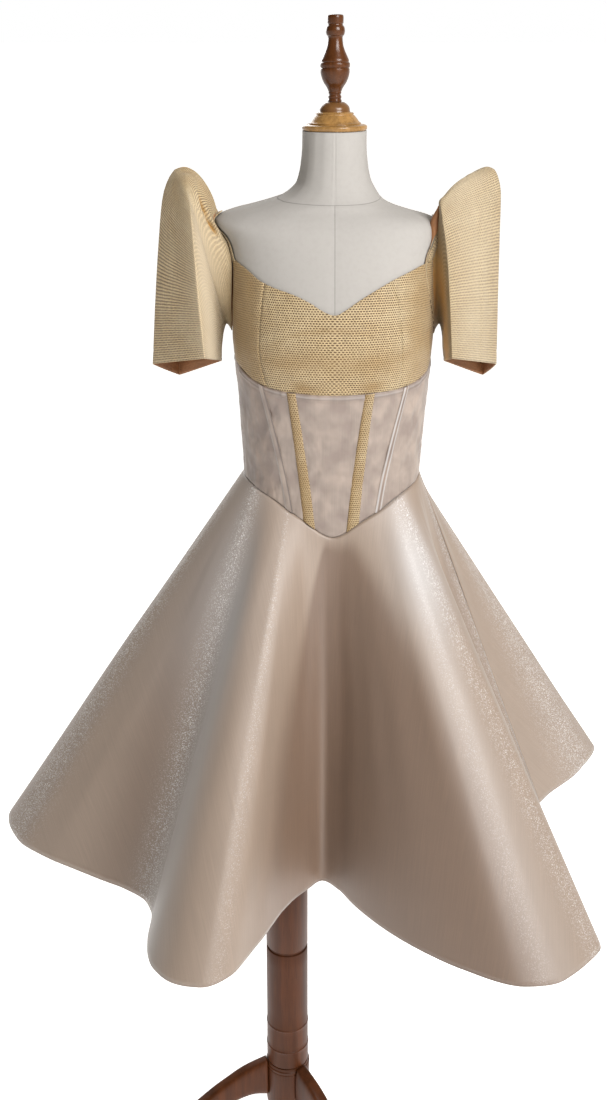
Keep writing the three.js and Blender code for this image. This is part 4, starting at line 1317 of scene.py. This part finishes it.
def make_room(scene):
    """The soft light of the room, by direction: its levels across depth, width and height multiplied."""
    world = bpy.data.worlds.new("soft room")
    world.use_nodes = True
    room = Tree(world.node_tree)
    width, depth, height = room.split(room.add("TexCoord").outputs["Generated"])
    tinted_width = [(at, scaled(ROOM_TINT, level)) for at, level in ROOM_WIDTH]
    light = room.ramp(room.times_plus(depth, 0.5, 0.5), ROOM_DEPTH)
    light = room.mix(1.0, light, room.ramp(room.times_plus(width, 0.5, 0.5), tinted_width), "MULTIPLY")
    light = room.mix(1.0, light, room.ramp(room.times_plus(height, 0.5, 0.5), ROOM_HEIGHT), "MULTIPLY")
    light = room.mix(1.0, light, room.ramp(room.times_plus(depth, 0.5, 0.5), ROOM_BACK), "LIGHTEN")
    background = room.tree.nodes["Background"]
    room.put(background.inputs[0], light)
    room.put(background.inputs[1], 1.0)
    scene.world = world


def make_lamp(scene, name, place, size, power):
    """A square soft lamp that faces the gown."""
    light = bpy.data.lights.new(name, "AREA")
    light.shape = "SQUARE"
    light.size = size
    light.energy = power
    light.color = LAMP_COLOUR
    lamp = bpy.data.objects.new(name, light)
    lamp.location = place
    aim = np.array(LAMP_AIM) - np.array(place)
    tilt = math.acos(-aim[2] / np.linalg.norm(aim))
    lamp.rotation_euler = (tilt, 0, math.atan2(aim[1], aim[0]) - math.pi / 2)
    scene.collection.objects.link(lamp)


class GOWN_OT_stage(bpy.types.Operator):
    """Make the floor, the soft lights and the camera"""
    bl_idname = "gown.stage"
    bl_label = "Floor, lights and camera"

    def execute(self, context):
        scene = context.scene
        make_camera(scene)
        scene.view_settings.view_transform = "Standard"
        make_floor()
        make_room(scene)
        for lamp in LAMPS:
            make_lamp(scene, *lamp)
        return {"FINISHED"}


class GOWN_PT_panel(bpy.types.Panel):
    """The gown's sizes and colours, and a button for each group of pieces"""
    bl_idname = "GOWN_PT_panel"
    bl_label = "Terno gown"
    bl_space_type = "VIEW_3D"
    bl_region_type = "UI"
    bl_category = "Gown"

    def draw(self, context):
        sizes = context.scene.gown_sizes
        for key in sizes.__annotations__:
            self.layout.prop(sizes, key)
        for operator in OPERATORS:
            self.layout.operator(operator.bl_idname)


OPERATORS = (GOWN_OT_stage, GOWN_OT_form, GOWN_OT_stand, GOWN_OT_bodice, GOWN_OT_corset,
             GOWN_OT_skirt, GOWN_OT_sleeves)


def register():
    for cls in (GownSizes, *OPERATORS, GOWN_PT_panel):
        bpy.utils.register_class(cls)
    bpy.types.Scene.gown_sizes = bpy.props.PointerProperty(type=GownSizes)


def unregister():
    del bpy.types.Scene.gown_sizes
    for cls in (GOWN_PT_panel, *reversed(OPERATORS), GownSizes):
        bpy.utils.unregister_class(cls)


def main():
    register()
    for name in ("stage", "form", "stand", "bodice", "corset", "skirt", "sleeves"):
        getattr(bpy.ops.gown, name)()


if __name__ == "__main__":
    main()
